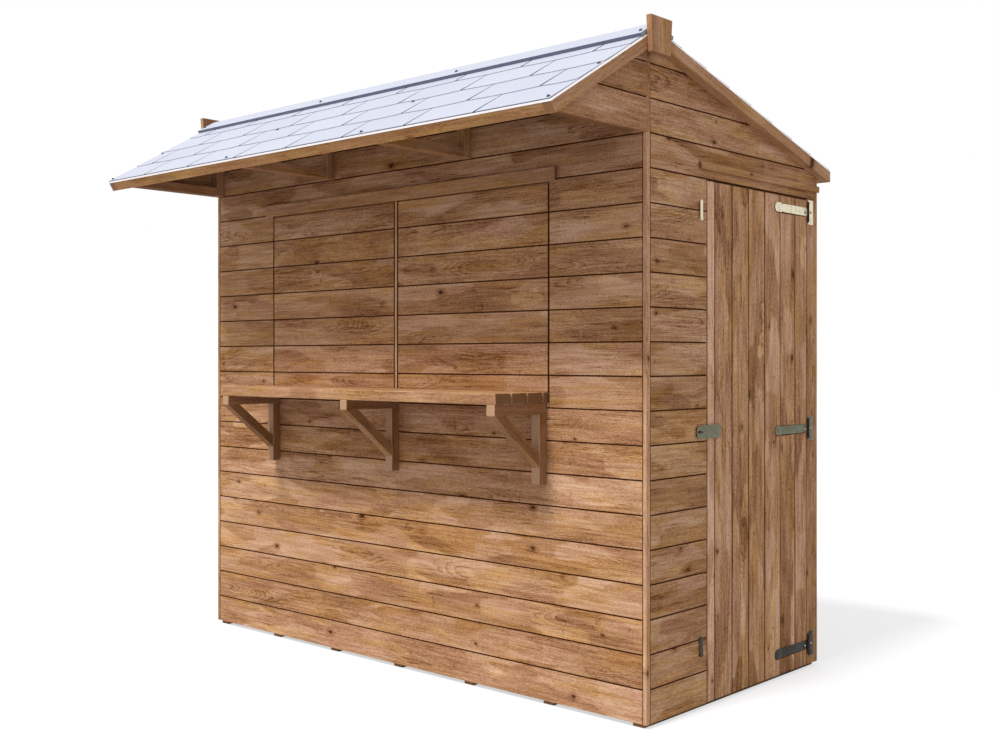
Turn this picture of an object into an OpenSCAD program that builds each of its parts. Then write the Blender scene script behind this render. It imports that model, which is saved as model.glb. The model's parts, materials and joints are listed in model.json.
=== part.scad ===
// Garden bar shed: a boarded timber shed with a serving hatch and a bar shelf under a
// roof canopy at the front, and a ledged and braced door in the right-hand gable.
// Origin: middle of the floor plan, at ground level. +X to the right, +Y to the back, +Z up.

/* [Overall] */
// Length of the shed over its boards
shed_length = 2400; // [1800:10:3600]
// Depth of the shed over its boards
shed_depth = 1158; // [960:2:1500]
// Height of the rafters' top edge at the ridge
ridge_height = 2280; // [2200:10:2800]
// Slope of the front roof in degrees
front_pitch = 30.6; // [20:0.2:40]
// Slope of the rear roof in degrees
rear_pitch = 15.4; // [8:0.2:20]
// Distance from the front wall to the front end of the rafters
canopy_reach = 527; // [300:1:700]

/* [Boards and timber] */
// Height of wall that one board covers
board_cover = 114; // [90:1:150]
// Thickness of the wall boards
board_thick = 12; // [8:1:20]
// Width of the V groove between two boards
groove_width = 6; // [4:1:14]
// Depth of the V groove between two boards
groove_depth = 5; // [2:0.5:7]
// Side of the square framing timber
timber = 38; // [28:1:50]
// Height of the boards' lower edge above the ground
ground_gap = 14; // [5:1:30]
// Boards from the foot of the wall to the heads of door and hatch
head_boards = 16; // [15:1:16]
// Boards from the foot of the wall to the underside of the canopy
canopy_boards = 17; // [17:1:18]
// Width of a corner trim on the front wall
trim_front = 14; // [12:1:40]
// Width of a corner trim on the gable
trim_side = 20; // [13:1:40]

/* [Floor] */
// Number of floor bearers
bearer_count = 7; // [3:2:11]
// Width of a floor bearer
bearer_width = 47; // [35:1:75]
// Height of a floor bearer
bearer_height = 45; // [35:1:75]
// Thickness of the floor boards
floor_thick = 12; // [9:1:22]
// Width of one floor board
floor_cover = 96; // [70:1:130]

/* [Hatch and bar shelf] */
// Width of the hatch
hatch_width = 1570; // [900:10:1600]
// Height of the shelf's top above the ground
shelf_height = 1096; // [900:1:1200]
// Width of a shelf slat
slat_width = 76; // [50:1:100]
// Thickness of a shelf slat
slat_thick = 39; // [25:1:45]
// Gap between two shelf slats
slat_gap = 6; // [4:1:12]
// Number of slats
slat_count = 4; // [2:1:5]
// How far the last slat stands out in front of the wall
sill_nose = 23; // [15:1:35]
// Height of a bracket from its foot to the slats
bracket_height = 283; // [220:1:340]
// Slope of a bracket's brace in degrees
brace_angle = 39; // [30:1:50]
// Width of the hatch frame that the panels close over
hatch_stop = 6; // [4:1:12]
// Gap round a hatch panel
hatch_gap = 5; // [2:0.5:5]
// Width of a batten on the back of a hatch panel
panel_batten_width = 45; // [30:1:70]
// Thickness of that batten
panel_batten_thick = 19; // [12:1:25]
// Width of the upright strip between the two hatch panels
strip_width = 13; // [8:1:26]
// How far that strip stands out in front of the boards
strip_proud = 0; // [0:1:10]

/* [Door] */
// Distance from the front corner to the doorway
door_set_back = 360; // [300:1:420]
// Width of the doorway
door_width = 718; // [600:1:720]
// Gap round the door
door_gap = 5; // [5:1:8]
// Width of the door frame that the door closes over
stop_width = 12; // [8:1:16]
// Width of one door board
door_cover = 114; // [80:1:130]
// Width of the narrow board at the door's free edge
first_door_board = 47; // [30:1:90]
// Width of a ledge or brace on the back of the door
ledge_width = 70; // [50:1:90]
// Thickness of a ledge or brace
ledge_thick = 20; // [15:1:25]

/* [Battens over the openings] */
// Height of the batten over the hatch
hatch_batten_height = 48; // [30:1:60]
// Thickness of the batten over the hatch
hatch_batten_thick = 14; // [10:1:25]
// How far that batten laps over the top of the panels
hatch_batten_lap = 7; // [3:1:12]
// How far that batten passes the hatch at each end
hatch_batten_pass = 36; // [10:1:40]
// Height of the batten over the door
door_batten_height = 24; // [15:1:40]
// Thickness of the batten over the door
door_batten_thick = 11; // [8:1:20]
// Height of that batten's lower edge above the doorway
door_batten_rise = 31; // [15:1:60]
// How far that batten passes the doorway at the front
door_batten_pass = 50; // [20:1:90]

/* [Roof] */
// Thickness of a roof sheet at the upper end of a course
sheet_thick = 7; // [4:0.5:12]
// Extra thickness at the butt of a course
butt_step = 3; // [1:0.5:5]
// Length of one course along the slope
course = 154; // [120:1:220]
// How far a sheet passes the timber under its eave
sheet_lap = 4; // [2:1:10]
// Thickness of the front fascia
fascia_thick = 20; // [15:1:38]
// Width of the front wing of the ridge capping
capping_wing = 90; // [60:1:140]
// Width of its rear wing
capping_rear_wing = 94; // [60:1:140]
// Height of the capping's underside above the butts of the tiles
capping_rise = 8; // [3:0.5:14]
// Thickness of the ridge capping
capping_thick = 3; // [1.5:0.5:5]
// Distance between the two inner trusses
truss_spacing = 780; // [400:10:1200]
// Width of a finial at its top
finial_top = 121; // [80:1:160]
// Width of a finial at its foot
finial_foot = 102; // [60:1:140]
// Height of a finial
finial_height = 118; // [80:1:160]
// Thickness of a finial
finial_thick = 20; // [12:1:30]

/* [Ironmongery] */
// Height of the lowest hinge above the foot of the door
hinge_rise = 81; // [60:1:200]
// Distance of the highest hinge below the top of the door
hinge_drop = 47; // [40:1:200]
// Length of a hinge strap
strap_length = 243; // [150:1:350]
// Width of a hinge strap at its knuckle
strap_width = 32; // [24:1:45]
// Length of the strap's penny end
penny_length = 54; // [40:1:70]
// Radius of the two notches at the neck
notch_radius = 5; // [3:0.5:7]
// Width of the T plate
plate_width = 38; // [30:1:45]
// Height of the T plate
plate_height = 95; // [70:1:120]
// Thickness of the metal plates
plate_thick = 2; // [1.5:0.5:3]
// Radius of the hinge pin
pin_radius = 2.5; // [2:0.1:4]
// Running clearance of pins in their knuckles
pin_fit = 0.1; // [0.05:0.05:0.3]
// Height of the hasp above the middle of the door
hasp_rise = 35.5; // [-150:0.5:150]
// Length of the hasp from its knuckle to its round end
hasp_length = 151; // [110:1:180]
// Width of the hasp
hasp_width = 46; // [36:1:60]
// Height of the lower turn button above the foot of the door
button_rise = 175; // [150:1:300]
// Distance of the upper turn button below the top of the door
button_drop = 138; // [100:1:300]
// Length of a turn button from its screw to its tip
button_reach = 66; // [50:1:75]
// Width of a turn button
button_width = 14; // [10:1:20]
// Distance from the doorway to the screw of a turn button
button_set_off = 45; // [35:1:60]

/* [Hidden] */
$fn = 32;

wall_colour = "#9a6b43";
frame_colour = "#c49a6c";
roof_colour = "#d9dcec";
metal_colour = "#b9b9b0";

// Outer faces of the walls, and the faces behind the boards
side_x = shed_length / 2;
side_y = shed_depth / 2;
back_of_boards_x = side_x - board_thick;
back_of_boards_y = side_y - board_thick;
frame_x = back_of_boards_x - timber;
frame_y = back_of_boards_y - timber;

// Levels
floor_top = bearer_height + floor_thick;
head_z = ground_gap + head_boards * board_cover;
canopy_z = ground_gap + canopy_boards * board_cover;
slat_foot = shelf_height - slat_thick;
side_joint = ground_gap + floor((slat_foot - ground_gap) / board_cover) * board_cover;

// Roof lines: the ridge lies a little behind the face of the front wall
ridge_y = -side_y + 4;
rear_end = side_y + timber;
front_run = -side_y - canopy_reach;
slope_length = (ridge_y - front_run) / cos(front_pitch);
function front_top(y) = ridge_height - (ridge_y - y) * tan(front_pitch);
function rear_top(y) = ridge_height - (y - ridge_y) * tan(rear_pitch);
front_plumb = timber / cos(front_pitch);
rear_plumb = timber / cos(rear_pitch);
wall_top = front_top(-side_y);

// Trusses and their uprights
truss_x = [-frame_x - timber / 2, -truss_spacing / 2, truss_spacing / 2, frame_x + timber / 2];
post_front = -side_y - timber;

// Hatch
hatch_half = hatch_width / 2;
hatch_low = head_z - hatch_batten_lap;
panel_top = hatch_low - hatch_gap;
jamb_x = hatch_half - hatch_stop + timber / 2;
slat_pitch = slat_width + slat_gap;
shelf_front = -side_y - sill_nose - (slat_count - 1) * slat_pitch;
shelf_half = hatch_half - hatch_stop - 1;
bracket_inset = 4;
bracket_x = shelf_half - timber / 2 - bracket_inset;
bracket_foot = slat_foot - bracket_height;

// Door
door_front = -side_y + door_set_back;
door_back = door_front + door_width;
door_foot = ground_gap;
door_top = head_z - door_gap;
knuckle_radius = pin_radius + plate_thick;
hinge_x = side_x + knuckle_radius + 0.5;
hinge_y = door_back - 1;
strap_start = hinge_y - knuckle_radius - 2;
penny_radius = strap_width / 2 + 2;
low_hinge = door_foot + hinge_rise;
high_hinge = door_top - hinge_drop;
hinge_heights = [low_hinge, (low_hinge + high_hinge) / 2, high_hinge];
frame_post = timber - stop_width;

// Hasp: its knuckle is on the door and its round end lies over the staple
hasp_y = door_front + 78;
hasp_height = (door_foot + door_top) / 2 + hasp_rise;
hasp_radius = 2;
hasp_x = side_x + plate_thick + hasp_radius + 1;
staple_y = hasp_y - hasp_length + 17;
staple_rod = 5;
staple_reach = 20;
staple_width = 20;

// Turn buttons
button_y = door_front - button_set_off;
button_heights = [door_foot + button_rise, door_top - button_drop];
button_thick = 4;
button_lift = 5;

// ---- Shapes that repeat ----

// A box given by its two opposite corners
module block(low, high) {
    translate(low) cube(high - low);
}

// Section of a boarded wall: X is the depth behind the face, Y the height
module board_section(low, high) {
    difference() {
        translate([0, low]) square([board_thick, high - low]);
        for (k = [0 : ceil(ridge_height / board_cover)])
            translate([0, ground_gap + k * board_cover])
                polygon([[-1, -groove_width / 2], [0, -groove_width / 2], [groove_depth, 0],
                         [0, groove_width / 2], [-1, groove_width / 2]]);
    }
}

// Boards of a wall that faces -Y at y = face, from x = left to x = right
module long_boards(face, left, right, low, high) {
    translate([left, face, 0]) rotate([90, 0, 90])
        linear_extrude(right - left) board_section(low, high);
}

// Boards of a gable on side = 1 (right) or -1 (left), from y = front to y = back
module gable_boards(side, front, back, low, high) {
    mirror([side > 0 ? 1 : 0, 0, 0])
        translate([-side_x, back, 0]) rotate([90, 0, 0])
            linear_extrude(back - front) board_section(low, high);
}

// An outline drawn in (y, z), made into a piece from x = left to x = right
module side_piece(left, right) {
    translate([left, 0, 0]) rotate([90, 0, 90]) linear_extrude(right - left) children();
}

// A timber along the front or the rear slope between two depths, cut plumb
module rafter_outline(y_low, y_high, front) {
    tops = [for (y = [y_low, y_high]) front ? front_top(y) : rear_top(y)];
    drop = front ? front_plumb : rear_plumb;
    polygon([[y_low, tops[0] - drop], [y_high, tops[1] - drop],
             [y_high, tops[1]], [y_low, tops[0]]]);
}

// Places an outline drawn along the front slope: X down the slope, Y square to it
module on_front_slope(lift = 0) {
    translate([ridge_y, ridge_height]) mirror([1, 0]) rotate(-front_pitch)
        translate([0, lift]) children();
}

// Places an outline drawn along the rear slope in the same way
module on_rear_slope(lift = 0) {
    translate([ridge_y, ridge_height]) rotate(-rear_pitch) translate([0, lift]) children();
}

// Saw-toothed section of the tiled sheet: each course thickens down to its butt
module tiled_section(start, finish) {
    courses = ceil((finish - start) / course);
    intersection() {
        translate([start, 0]) square([finish - start, sheet_thick + butt_step]);
        union() {
            for (k = [0 : courses - 1])
                let (butt = finish - k * course)
                    polygon([[butt - course, 0], [butt, 0], [butt, sheet_thick + butt_step],
                             [butt - course, sheet_thick]]);
        }
    }
}

// ---- Floor ----

module floor_bearers() {
    reach = back_of_boards_x - door_gap - bearer_width / 2;
    color("#7d5a3a")
        for (k = [0 : bearer_count - 1])
            let (x = -reach + k * 2 * reach / (bearer_count - 1))
                block([x - bearer_width / 2, -back_of_boards_y, 0],
                      [x + bearer_width / 2, back_of_boards_y, bearer_height]);
}

module floor_boards() {
    reach = back_of_boards_x - door_gap;
    floor_groove = 2.8;
    color(frame_colour)
        translate([-reach, 0, 0]) rotate([90, 0, 90]) linear_extrude(2 * reach)
            difference() {
                translate([-back_of_boards_y, bearer_height])
                    square([2 * back_of_boards_y, floor_thick]);
                for (y = [-back_of_boards_y + floor_cover : floor_cover : back_of_boards_y - 10])
                    translate([y, floor_top]) rotate(45) square(floor_groove, center = true);
            }
}

// ---- Walls ----

// Whole courses below the hatch, and the cut board that fills up to the shelf
module front_wall_lower() {
    edge = side_x - trim_front;
    color(wall_colour)
        union() {
            long_boards(-side_y, -edge, edge, ground_gap, side_joint);
            if (slat_foot > side_joint)
                long_boards(-side_y, -hatch_half, hatch_half, side_joint, slat_foot);
        }
}

module front_wall_sides() {
    edge = side_x - trim_front;
    color(wall_colour) {
        long_boards(-side_y, -edge, -hatch_half, side_joint, head_z);
        long_boards(-side_y, hatch_half, edge, side_joint, head_z);
    }
}

module front_wall_upper() {
    edge = side_x - trim_front;
    color(wall_colour)
        long_boards(-side_y, -edge, edge, head_z, wall_top);
}

// Two boarded panels, each held together by three battens on its back
module hatch_panels() {
    start = strip_width / 2 + hatch_gap;
    edge = hatch_half - hatch_gap;
    inner = timber / 2 + 6 + panel_batten_width / 2;
    outer = hatch_half - hatch_stop - 6 - panel_batten_width / 2;
    color(wall_colour)
        for (side = [-1, 1])
            mirror([side < 0 ? 1 : 0, 0, 0])
                union() {
                    long_boards(-side_y, start, edge, shelf_height, panel_top);
                    for (x = [inner, (inner + outer) / 2, outer])
                        block([x - panel_batten_width / 2, -back_of_boards_y, shelf_height + 12],
                              [x + panel_batten_width / 2,
                               -back_of_boards_y + panel_batten_thick, hatch_head_foot - 12]);
                }
}

// Strip on the post between the panels
module hatch_cover_strip() {
    color(wall_colour)
        block([-strip_width / 2, -side_y - strip_proud, shelf_height],
              [strip_width / 2, -back_of_boards_y, hatch_low]);
}

module drip_battens() {
    door_low = head_z + door_batten_rise;
    hatch_reach = hatch_half + hatch_batten_pass;
    door_high = door_low + door_batten_height;
    door_batten_end = min(side_y, rafter_foot_y(door_high));
    color(wall_colour) {
        block([-hatch_reach, -side_y - hatch_batten_thick, hatch_low],
              [hatch_reach, -side_y, hatch_low + hatch_batten_height]);
        block([side_x, door_front - door_batten_pass, door_low],
              [side_x + door_batten_thick, door_batten_end, door_high]);
    }
}

module back_wall() {
    edge = side_x - trim_front;
    color(wall_colour)
        rotate([0, 0, 180]) long_boards(-side_y, -edge, edge, ground_gap, rear_top(side_y));
}

// Outline of a gable above a level, from the front wall's boards to the back wall's
module gable_outline(low) {
    front = -back_of_boards_y;
    back = back_of_boards_y;
    polygon([[front, low], [back, low], [back, rear_top(back)], [front, rear_top(front)]]);
}

module left_gable() {
    color(wall_colour)
        intersection() {
            gable_boards(-1, -back_of_boards_y, back_of_boards_y, ground_gap, ridge_height);
            difference() {
                side_piece(-side_x - 1, side_x) gable_outline(ground_gap);
                block([-side_x - 1, -side_y, 0], [0, -side_y + trim_side, ridge_height]);
            }
        }
}

module right_gable_front() {
    color(wall_colour)
        gable_boards(1, -side_y + trim_side, door_front, ground_gap, head_z);
}

module right_gable_upper() {
    color(wall_colour)
        intersection() {
            gable_boards(1, -back_of_boards_y, back_of_boards_y, head_z, ridge_height);
            difference() {
                side_piece(-side_x, side_x + 1) gable_outline(head_z);
                block([0, -side_y, 0], [side_x + 1, -side_y + trim_side, ridge_height]);
            }
        }
}

// Upright board beside the hinged edge of the door; the hinge plates lie on it
module right_gable_post() {
    color(wall_colour)
        block([back_of_boards_x, door_back, ground_gap], [side_x, back_of_boards_y, head_z]);
}

// Boarded triangles that close the two ends of the canopy
module canopy_infills() {
    low = canopy_z;
    fascia_back = slope_length - fascia_thick;
    nose_y = ridge_y - fascia_back * cos(front_pitch);
    foot_y = nose_y + (front_top(nose_y) - low) * tan(front_pitch);
    for (side = [-1, 1])
        color(wall_colour)
            intersection() {
                gable_boards(side, nose_y - 1, -side_y, low, ridge_height);
                side_piece(-side_x - 1, side_x + 1)
                    polygon([[foot_y, low], [-side_y, low], [-side_y, front_top(-side_y)],
                             [nose_y, front_top(nose_y)]]);
            }
}

// Angle-shaped trims that close the front corners, and flat ones that close the rear corners
module corner_trims() {
    trim_back = -side_y + trim_side;
    color(wall_colour)
        for (side = [-1, 1])
            mirror([side < 0 ? 1 : 0, 0, 0]) {
                difference() {
                    side_piece(side_x - trim_front, side_x)
                        polygon([[-side_y, ground_gap], [trim_back, ground_gap],
                                 [trim_back, rear_top(trim_back)], [ridge_y, ridge_height],
                                 [-side_y, front_top(-side_y)]]);
                    block([0, -back_of_boards_y, 0],
                          [back_of_boards_x, 0, ridge_height + 1]);
                }
                block([side_x - trim_front, back_of_boards_y, ground_gap],
                      [side_x, side_y, rear_top(side_y)]);
            }
}

// ---- Wall framing ----

// Undersides of the rear rafters and of the front wall's top rail
function rafter_foot(y) = rear_top(y) - rear_plumb;
function rafter_foot_y(z) = ridge_y + (ridge_height - rear_plumb - z) / tan(rear_pitch);
front_rail_foot = rafter_foot(-frame_y) - timber;
back_rail_foot = rafter_foot(back_of_boards_y) - timber;
rail_top = floor_top + timber;
sill_foot = slat_foot - timber;
hatch_head_foot = panel_top - hatch_stop;

module long_wall_studs() {
    color(frame_colour) {
        block([-timber / 2, -back_of_boards_y, shelf_height],
              [timber / 2, -frame_y, hatch_head_foot]);
        for (side = [-1, 1]) {
            for (x = [side_x - board_thick - timber / 2, jamb_x])
                block([side * x - timber / 2, -back_of_boards_y, rail_top],
                      [side * x + timber / 2, -frame_y, front_rail_foot]);
            block([side * truss_spacing / 2 - timber / 2, -back_of_boards_y, rail_top],
                  [side * truss_spacing / 2 + timber / 2, -frame_y, sill_foot]);
            block([side * truss_spacing / 2 - timber / 2, -back_of_boards_y,
                   hatch_head_foot + timber],
                  [side * truss_spacing / 2 + timber / 2, -frame_y, front_rail_foot]);
            for (x = [side_x - board_thick - timber / 2, truss_spacing / 2])
                block([side * x - timber / 2, frame_y, rail_top],
                      [side * x + timber / 2, back_of_boards_y, back_rail_foot]);
        }
    }
}

// Rails of the front and back frames; the top rails are planed to the rafters' slope
module long_wall_rails() {
    inner = jamb_x - timber / 2;
    color(frame_colour) {
        for (side = [-1, 1])
            mirror([0, side > 0 ? 1 : 0, 0])
                block([-back_of_boards_x, -back_of_boards_y, floor_top],
                      [back_of_boards_x, -frame_y, rail_top]);
        block([-inner, -back_of_boards_y, sill_foot], [inner, -frame_y, slat_foot]);
        block([-inner, -back_of_boards_y, hatch_head_foot],
              [inner, -frame_y, hatch_head_foot + timber]);
        side_piece(-back_of_boards_x, back_of_boards_x)
            polygon([[-back_of_boards_y, front_rail_foot], [-frame_y, front_rail_foot],
                     [-frame_y, rafter_foot(-frame_y)],
                     [-back_of_boards_y, rafter_foot(-back_of_boards_y)]]);
        side_piece(-back_of_boards_x, back_of_boards_x)
            polygon([[frame_y, back_rail_foot], [back_of_boards_y, back_rail_foot],
                     [back_of_boards_y, rafter_foot(back_of_boards_y)],
                     [frame_y, rafter_foot(frame_y)]]);
    }
}

// A stud of a gable whose head is cut to the underside of the rafter
module gable_stud(side, front, low, back = undef) {
    y = [front, is_undef(back) ? front + timber : back];
    mirror([side < 0 ? 1 : 0, 0, 0])
        side_piece(frame_x, back_of_boards_x)
            polygon([[y[0], low], [y[1], low], [y[1], rafter_foot(y[1])],
                     [y[0], rafter_foot(y[0])]]);
}

// Space that the closed door takes in the rebate of its frame
module door_rebate() {
    block([back_of_boards_x - door_gap, door_front - 1, -1],
          [side_x + 1, door_back + 1, head_z + 1]);
}

module gable_studs() {
    color(frame_colour) {
        for (front = [-frame_y, -timber / 2, frame_y - timber])
            gable_stud(-1, front, rail_top);
        gable_stud(1, -frame_y, rail_top);
        difference() {
            union() {
                gable_stud(1, door_front - frame_post, floor_top);
                gable_stud(1, door_back - stop_width, floor_top,
                           min(door_back + frame_post, frame_y));
            }
            door_rebate();
        }
        gable_stud(1, (door_front + door_back - timber) / 2, head_z - stop_width + timber);
    }
}

module gable_rails() {
    color(frame_colour) {
        block([-back_of_boards_x, -frame_y, floor_top], [-frame_x, frame_y, rail_top]);
        block([frame_x, -frame_y, floor_top],
              [back_of_boards_x, door_front - frame_post, rail_top]);
        difference() {
            block([frame_x, door_front + stop_width, head_z - stop_width],
                  [back_of_boards_x, door_back - stop_width, head_z - stop_width + timber]);
            door_rebate();
        }
    }
}

// ---- Canopy and roof timbers ----

module canopy_posts() {
    color(frame_colour)
        for (x = truss_x)
            side_piece(x - timber / 2, x + timber / 2)
                polygon([[post_front, canopy_z], [-side_y, canopy_z],
                         [-side_y, front_top(-side_y) - front_plumb],
                         [post_front, front_top(post_front) - front_plumb]]);
}

// Level ties from the posts to the undersides of the rafters
module canopy_ties() {
    function meets(z) = ridge_y - (ridge_height - front_plumb - z) / tan(front_pitch);
    color(frame_colour)
        for (x = truss_x)
            side_piece(x - timber / 2, x + timber / 2)
                polygon([[meets(canopy_z), canopy_z], [post_front, canopy_z],
                         [post_front, canopy_z + timber],
                         [meets(canopy_z + timber), canopy_z + timber]]);
}

module canopy_rafters() {
    color(frame_colour)
        for (x = truss_x)
            side_piece(x - timber / 2, x + timber / 2)
                intersection() {
                    rafter_outline(front_run, -side_y, true);
                    on_front_slope()
                        translate([0, -2 * timber])
                            square([slope_length - fascia_thick, 3 * timber]);
                }
}

module rear_rafters() {
    color(frame_colour)
        for (x = truss_x)
            side_piece(x - timber / 2, x + timber / 2)
                rafter_outline(-back_of_boards_y, back_of_boards_y, false);
}

// Front fascia square to the slope, and a batten along the top of the back wall
module fascias() {
    color(wall_colour) {
        side_piece(-side_x, side_x)
            on_front_slope()
                translate([slope_length - fascia_thick, -timber])
                    square([fascia_thick, timber]);
        side_piece(-side_x, side_x)
            rafter_outline(side_y, rear_end, false);
    }
}

module front_barge_boards() {
    color(wall_colour)
        for (side = [-1, 1])
            mirror([side < 0 ? 1 : 0, 0, 0])
                side_piece(side_x, side_x + timber)
                    intersection() {
                        rafter_outline(front_run - timber, ridge_y, true);
                        on_front_slope()
                            translate([-timber, -3 * timber])
                                square([slope_length + timber, 4 * timber]);
                    }
}

module rear_barge_boards() {
    color(wall_colour)
        for (side = [-1, 1])
            mirror([side < 0 ? 1 : 0, 0, 0])
                side_piece(side_x, side_x + timber) rafter_outline(ridge_y, rear_end, false);
}

module finials() {
    top = ridge_height + 36;
    color(wall_colour)
        for (side = [-1, 1])
            mirror([side < 0 ? 1 : 0, 0, 0])
                side_piece(side_x + timber, side_x + timber + finial_thick)
                    polygon([[ridge_y - finial_foot / 2, top - finial_height],
                             [ridge_y + finial_foot / 2, top - finial_height],
                             [ridge_y + finial_top / 2, top], [ridge_y - finial_top / 2, top]]);
}

// ---- Roof covering ----

sheet_half = side_x + timber;
rear_slope_length = (rear_end - ridge_y) / cos(rear_pitch);
ridge_gap = 6;
sheet_seat = 0.05;

module front_roof_sheet() {
    color(roof_colour)
        side_piece(-sheet_half, sheet_half)
            on_front_slope(sheet_seat) tiled_section(ridge_gap, slope_length + sheet_lap);
}

module rear_roof_sheet() {
    color(roof_colour)
        side_piece(-sheet_half, sheet_half)
            on_rear_slope(sheet_seat)
                tiled_section(ridge_gap, rear_slope_length + sheet_lap);
}

// Height of the tiles' surface at a distance from the ridge, on a slope of a given length
function tile_top(s, length) =
    sheet_thick + butt_step * (1 - ((length + sheet_lap - s) % course) / course);

// Points at a distance s down a slope and a height n square to it
function front_at(s, n) = [ridge_y - s * cos(front_pitch) - n * sin(front_pitch),
                           ridge_height - s * sin(front_pitch) + n * cos(front_pitch)];
function rear_at(s, n) = [ridge_y + s * cos(rear_pitch) + n * sin(rear_pitch),
                          ridge_height - s * sin(rear_pitch) + n * cos(rear_pitch)];

// Where the two slopes meet at a height n square to both
function crest(n) =
    let (set = n * (1 / cos(front_pitch) - 1 / cos(rear_pitch))
               / (tan(front_pitch) + tan(rear_pitch)))
    [ridge_y - set, ridge_height + n / cos(front_pitch) - set * tan(front_pitch)];

// Folded capping whose two lips stand on the tiles
module ridge_capping() {
    under = sheet_thick + butt_step + capping_rise;
    top = under + capping_thick;
    front_inner = capping_wing - capping_thick;
    rear_inner = capping_rear_wing - capping_thick;
    seat = 0.3;
    front_lip = tile_top(capping_wing, slope_length) + seat;
    rear_lip = tile_top(capping_rear_wing, rear_slope_length) + seat;
    color("#c3c7da")
        side_piece(-sheet_half, sheet_half)
            polygon([front_at(capping_wing, front_lip), front_at(capping_wing, top), crest(top),
                     rear_at(capping_rear_wing, top), rear_at(capping_rear_wing, rear_lip),
                     rear_at(rear_inner, rear_lip), rear_at(rear_inner, under), crest(under),
                     front_at(front_inner, under), front_at(front_inner, front_lip)]);
}

// ---- Bar shelf ----

module shelf_slats() {
    color(frame_colour)
        for (k = [0 : slat_count - 1])
            block([-shelf_half, shelf_front + k * slat_pitch, slat_foot],
                  [shelf_half, shelf_front + k * slat_pitch + slat_width, shelf_height]);
}

module at_brackets() {
    for (x = [-bracket_x, 0, bracket_x])
        translate([x - timber / 2, 0, 0]) children();
}

module bracket_legs() {
    color(frame_colour)
        at_brackets()
            block([0, post_front, bracket_foot], [timber, -side_y, slat_foot - timber]);
}

module bracket_arms() {
    color(frame_colour)
        at_brackets()
            block([0, shelf_front, slat_foot - timber], [timber, -side_y, slat_foot]);
}

module bracket_braces() {
    arm_foot = slat_foot - timber;
    drop = (post_front - shelf_front) * tan(brace_angle);
    color(frame_colour)
        at_brackets()
            side_piece(0, timber)
                polygon([[shelf_front, arm_foot], [shelf_front + timber / sin(brace_angle), arm_foot],
                         [post_front, arm_foot - drop + timber / cos(brace_angle)],
                         [post_front, arm_foot - drop]]);
}

// ---- Door ----

module door_leaf() {
    first_joint = door_front + door_gap + first_door_board;
    groove_side = groove_width / sqrt(2);
    color(wall_colour)
        difference() {
            block([back_of_boards_x, door_front + door_gap, door_foot],
                  [side_x, door_back - door_gap, door_top]);
            for (y = [first_joint : door_cover : door_back - door_gap - 20])
                translate([side_x, y, (door_foot + door_top) / 2]) rotate([0, 0, 45])
                    cube([groove_side, groove_side, 2 * door_top], center = true);
        }
}

// Places of the ledges: their lower edges
ledge_low = [door_foot + 110, (door_foot + door_top - ledge_width) / 2, door_top - 110 - ledge_width];
ledge_front = door_front + stop_width + door_gap;
ledge_back = door_back - stop_width - door_gap;

module door_ledges() {
    color(frame_colour)
        for (z = ledge_low)
            block([back_of_boards_x - ledge_thick, ledge_front, z],
                  [back_of_boards_x, ledge_back, z + ledge_width]);
}

// Braces rise from the hinge side to the free side between the ledges
module door_braces() {
    across = ledge_width * 1.2;
    color(frame_colour)
        for (k = [0, 1])
            side_piece(back_of_boards_x - ledge_thick, back_of_boards_x)
                polygon([[ledge_back - across, ledge_low[k] + ledge_width],
                         [ledge_back, ledge_low[k] + ledge_width],
                         [ledge_front + across, ledge_low[k + 1]],
                         [ledge_front, ledge_low[k + 1]]]);
}

// ---- Ironmongery ----

// Outline of the strap, knuckle side at x = 0: straight sides, two notches and a penny end
module strap_outline() {
    difference() {
        union() {
            translate([0, -strap_width / 2])
                square([strap_length - penny_radius, strap_width]);
            translate([strap_length - penny_radius, 0]) circle(r = penny_radius);
            translate([strap_length - penny_length, -penny_radius])
                square([penny_length - penny_radius, 2 * penny_radius]);
        }
        for (side = [-1, 1])
            translate([strap_length - penny_length, side * penny_radius])
                circle(r = notch_radius);
    }
}

// Strap plates on the door with the middle knuckle of each hinge
module hinge_straps() {
    knuckle = strap_width - 2;
    color(metal_colour)
        for (z = hinge_heights)
            difference() {
                union() {
                    translate([side_x, strap_start, z]) rotate([90, 0, 90]) mirror([1, 0, 0])
                        linear_extrude(plate_thick) strap_outline();
                    block([side_x, strap_start - 1, z - knuckle / 2],
                          [side_x + plate_thick, hinge_y, z + knuckle / 2]);
                    translate([hinge_x, hinge_y, z - knuckle / 2])
                        cylinder(h = knuckle, r = knuckle_radius);
                }
                translate([hinge_x, hinge_y, z - knuckle])
                    cylinder(h = 2 * knuckle, r = pin_radius + pin_fit);
            }
}

// T plates on the rear post, each with two outer knuckles and the pin through them
module hinge_plates() {
    plate_start = hinge_y + knuckle_radius + 2;
    inner = strap_width / 2;
    outer = plate_height / 2 - 8;
    color(metal_colour)
        for (z = hinge_heights) {
            block([side_x, plate_start, z - plate_height / 2],
                  [side_x + plate_thick, plate_start + plate_width, z + plate_height / 2]);
            for (side = [-1, 1])
                translate([0, 0, z]) mirror([0, 0, side < 0 ? 1 : 0]) {
                    block([side_x, hinge_y, inner], [side_x + plate_thick, plate_start + 1, outer]);
                    translate([hinge_x, hinge_y, inner])
                        cylinder(h = outer - inner, r = knuckle_radius);
                }
            translate([hinge_x, hinge_y, z - outer]) cylinder(h = 2 * outer, r = pin_radius);
        }
}

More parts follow.
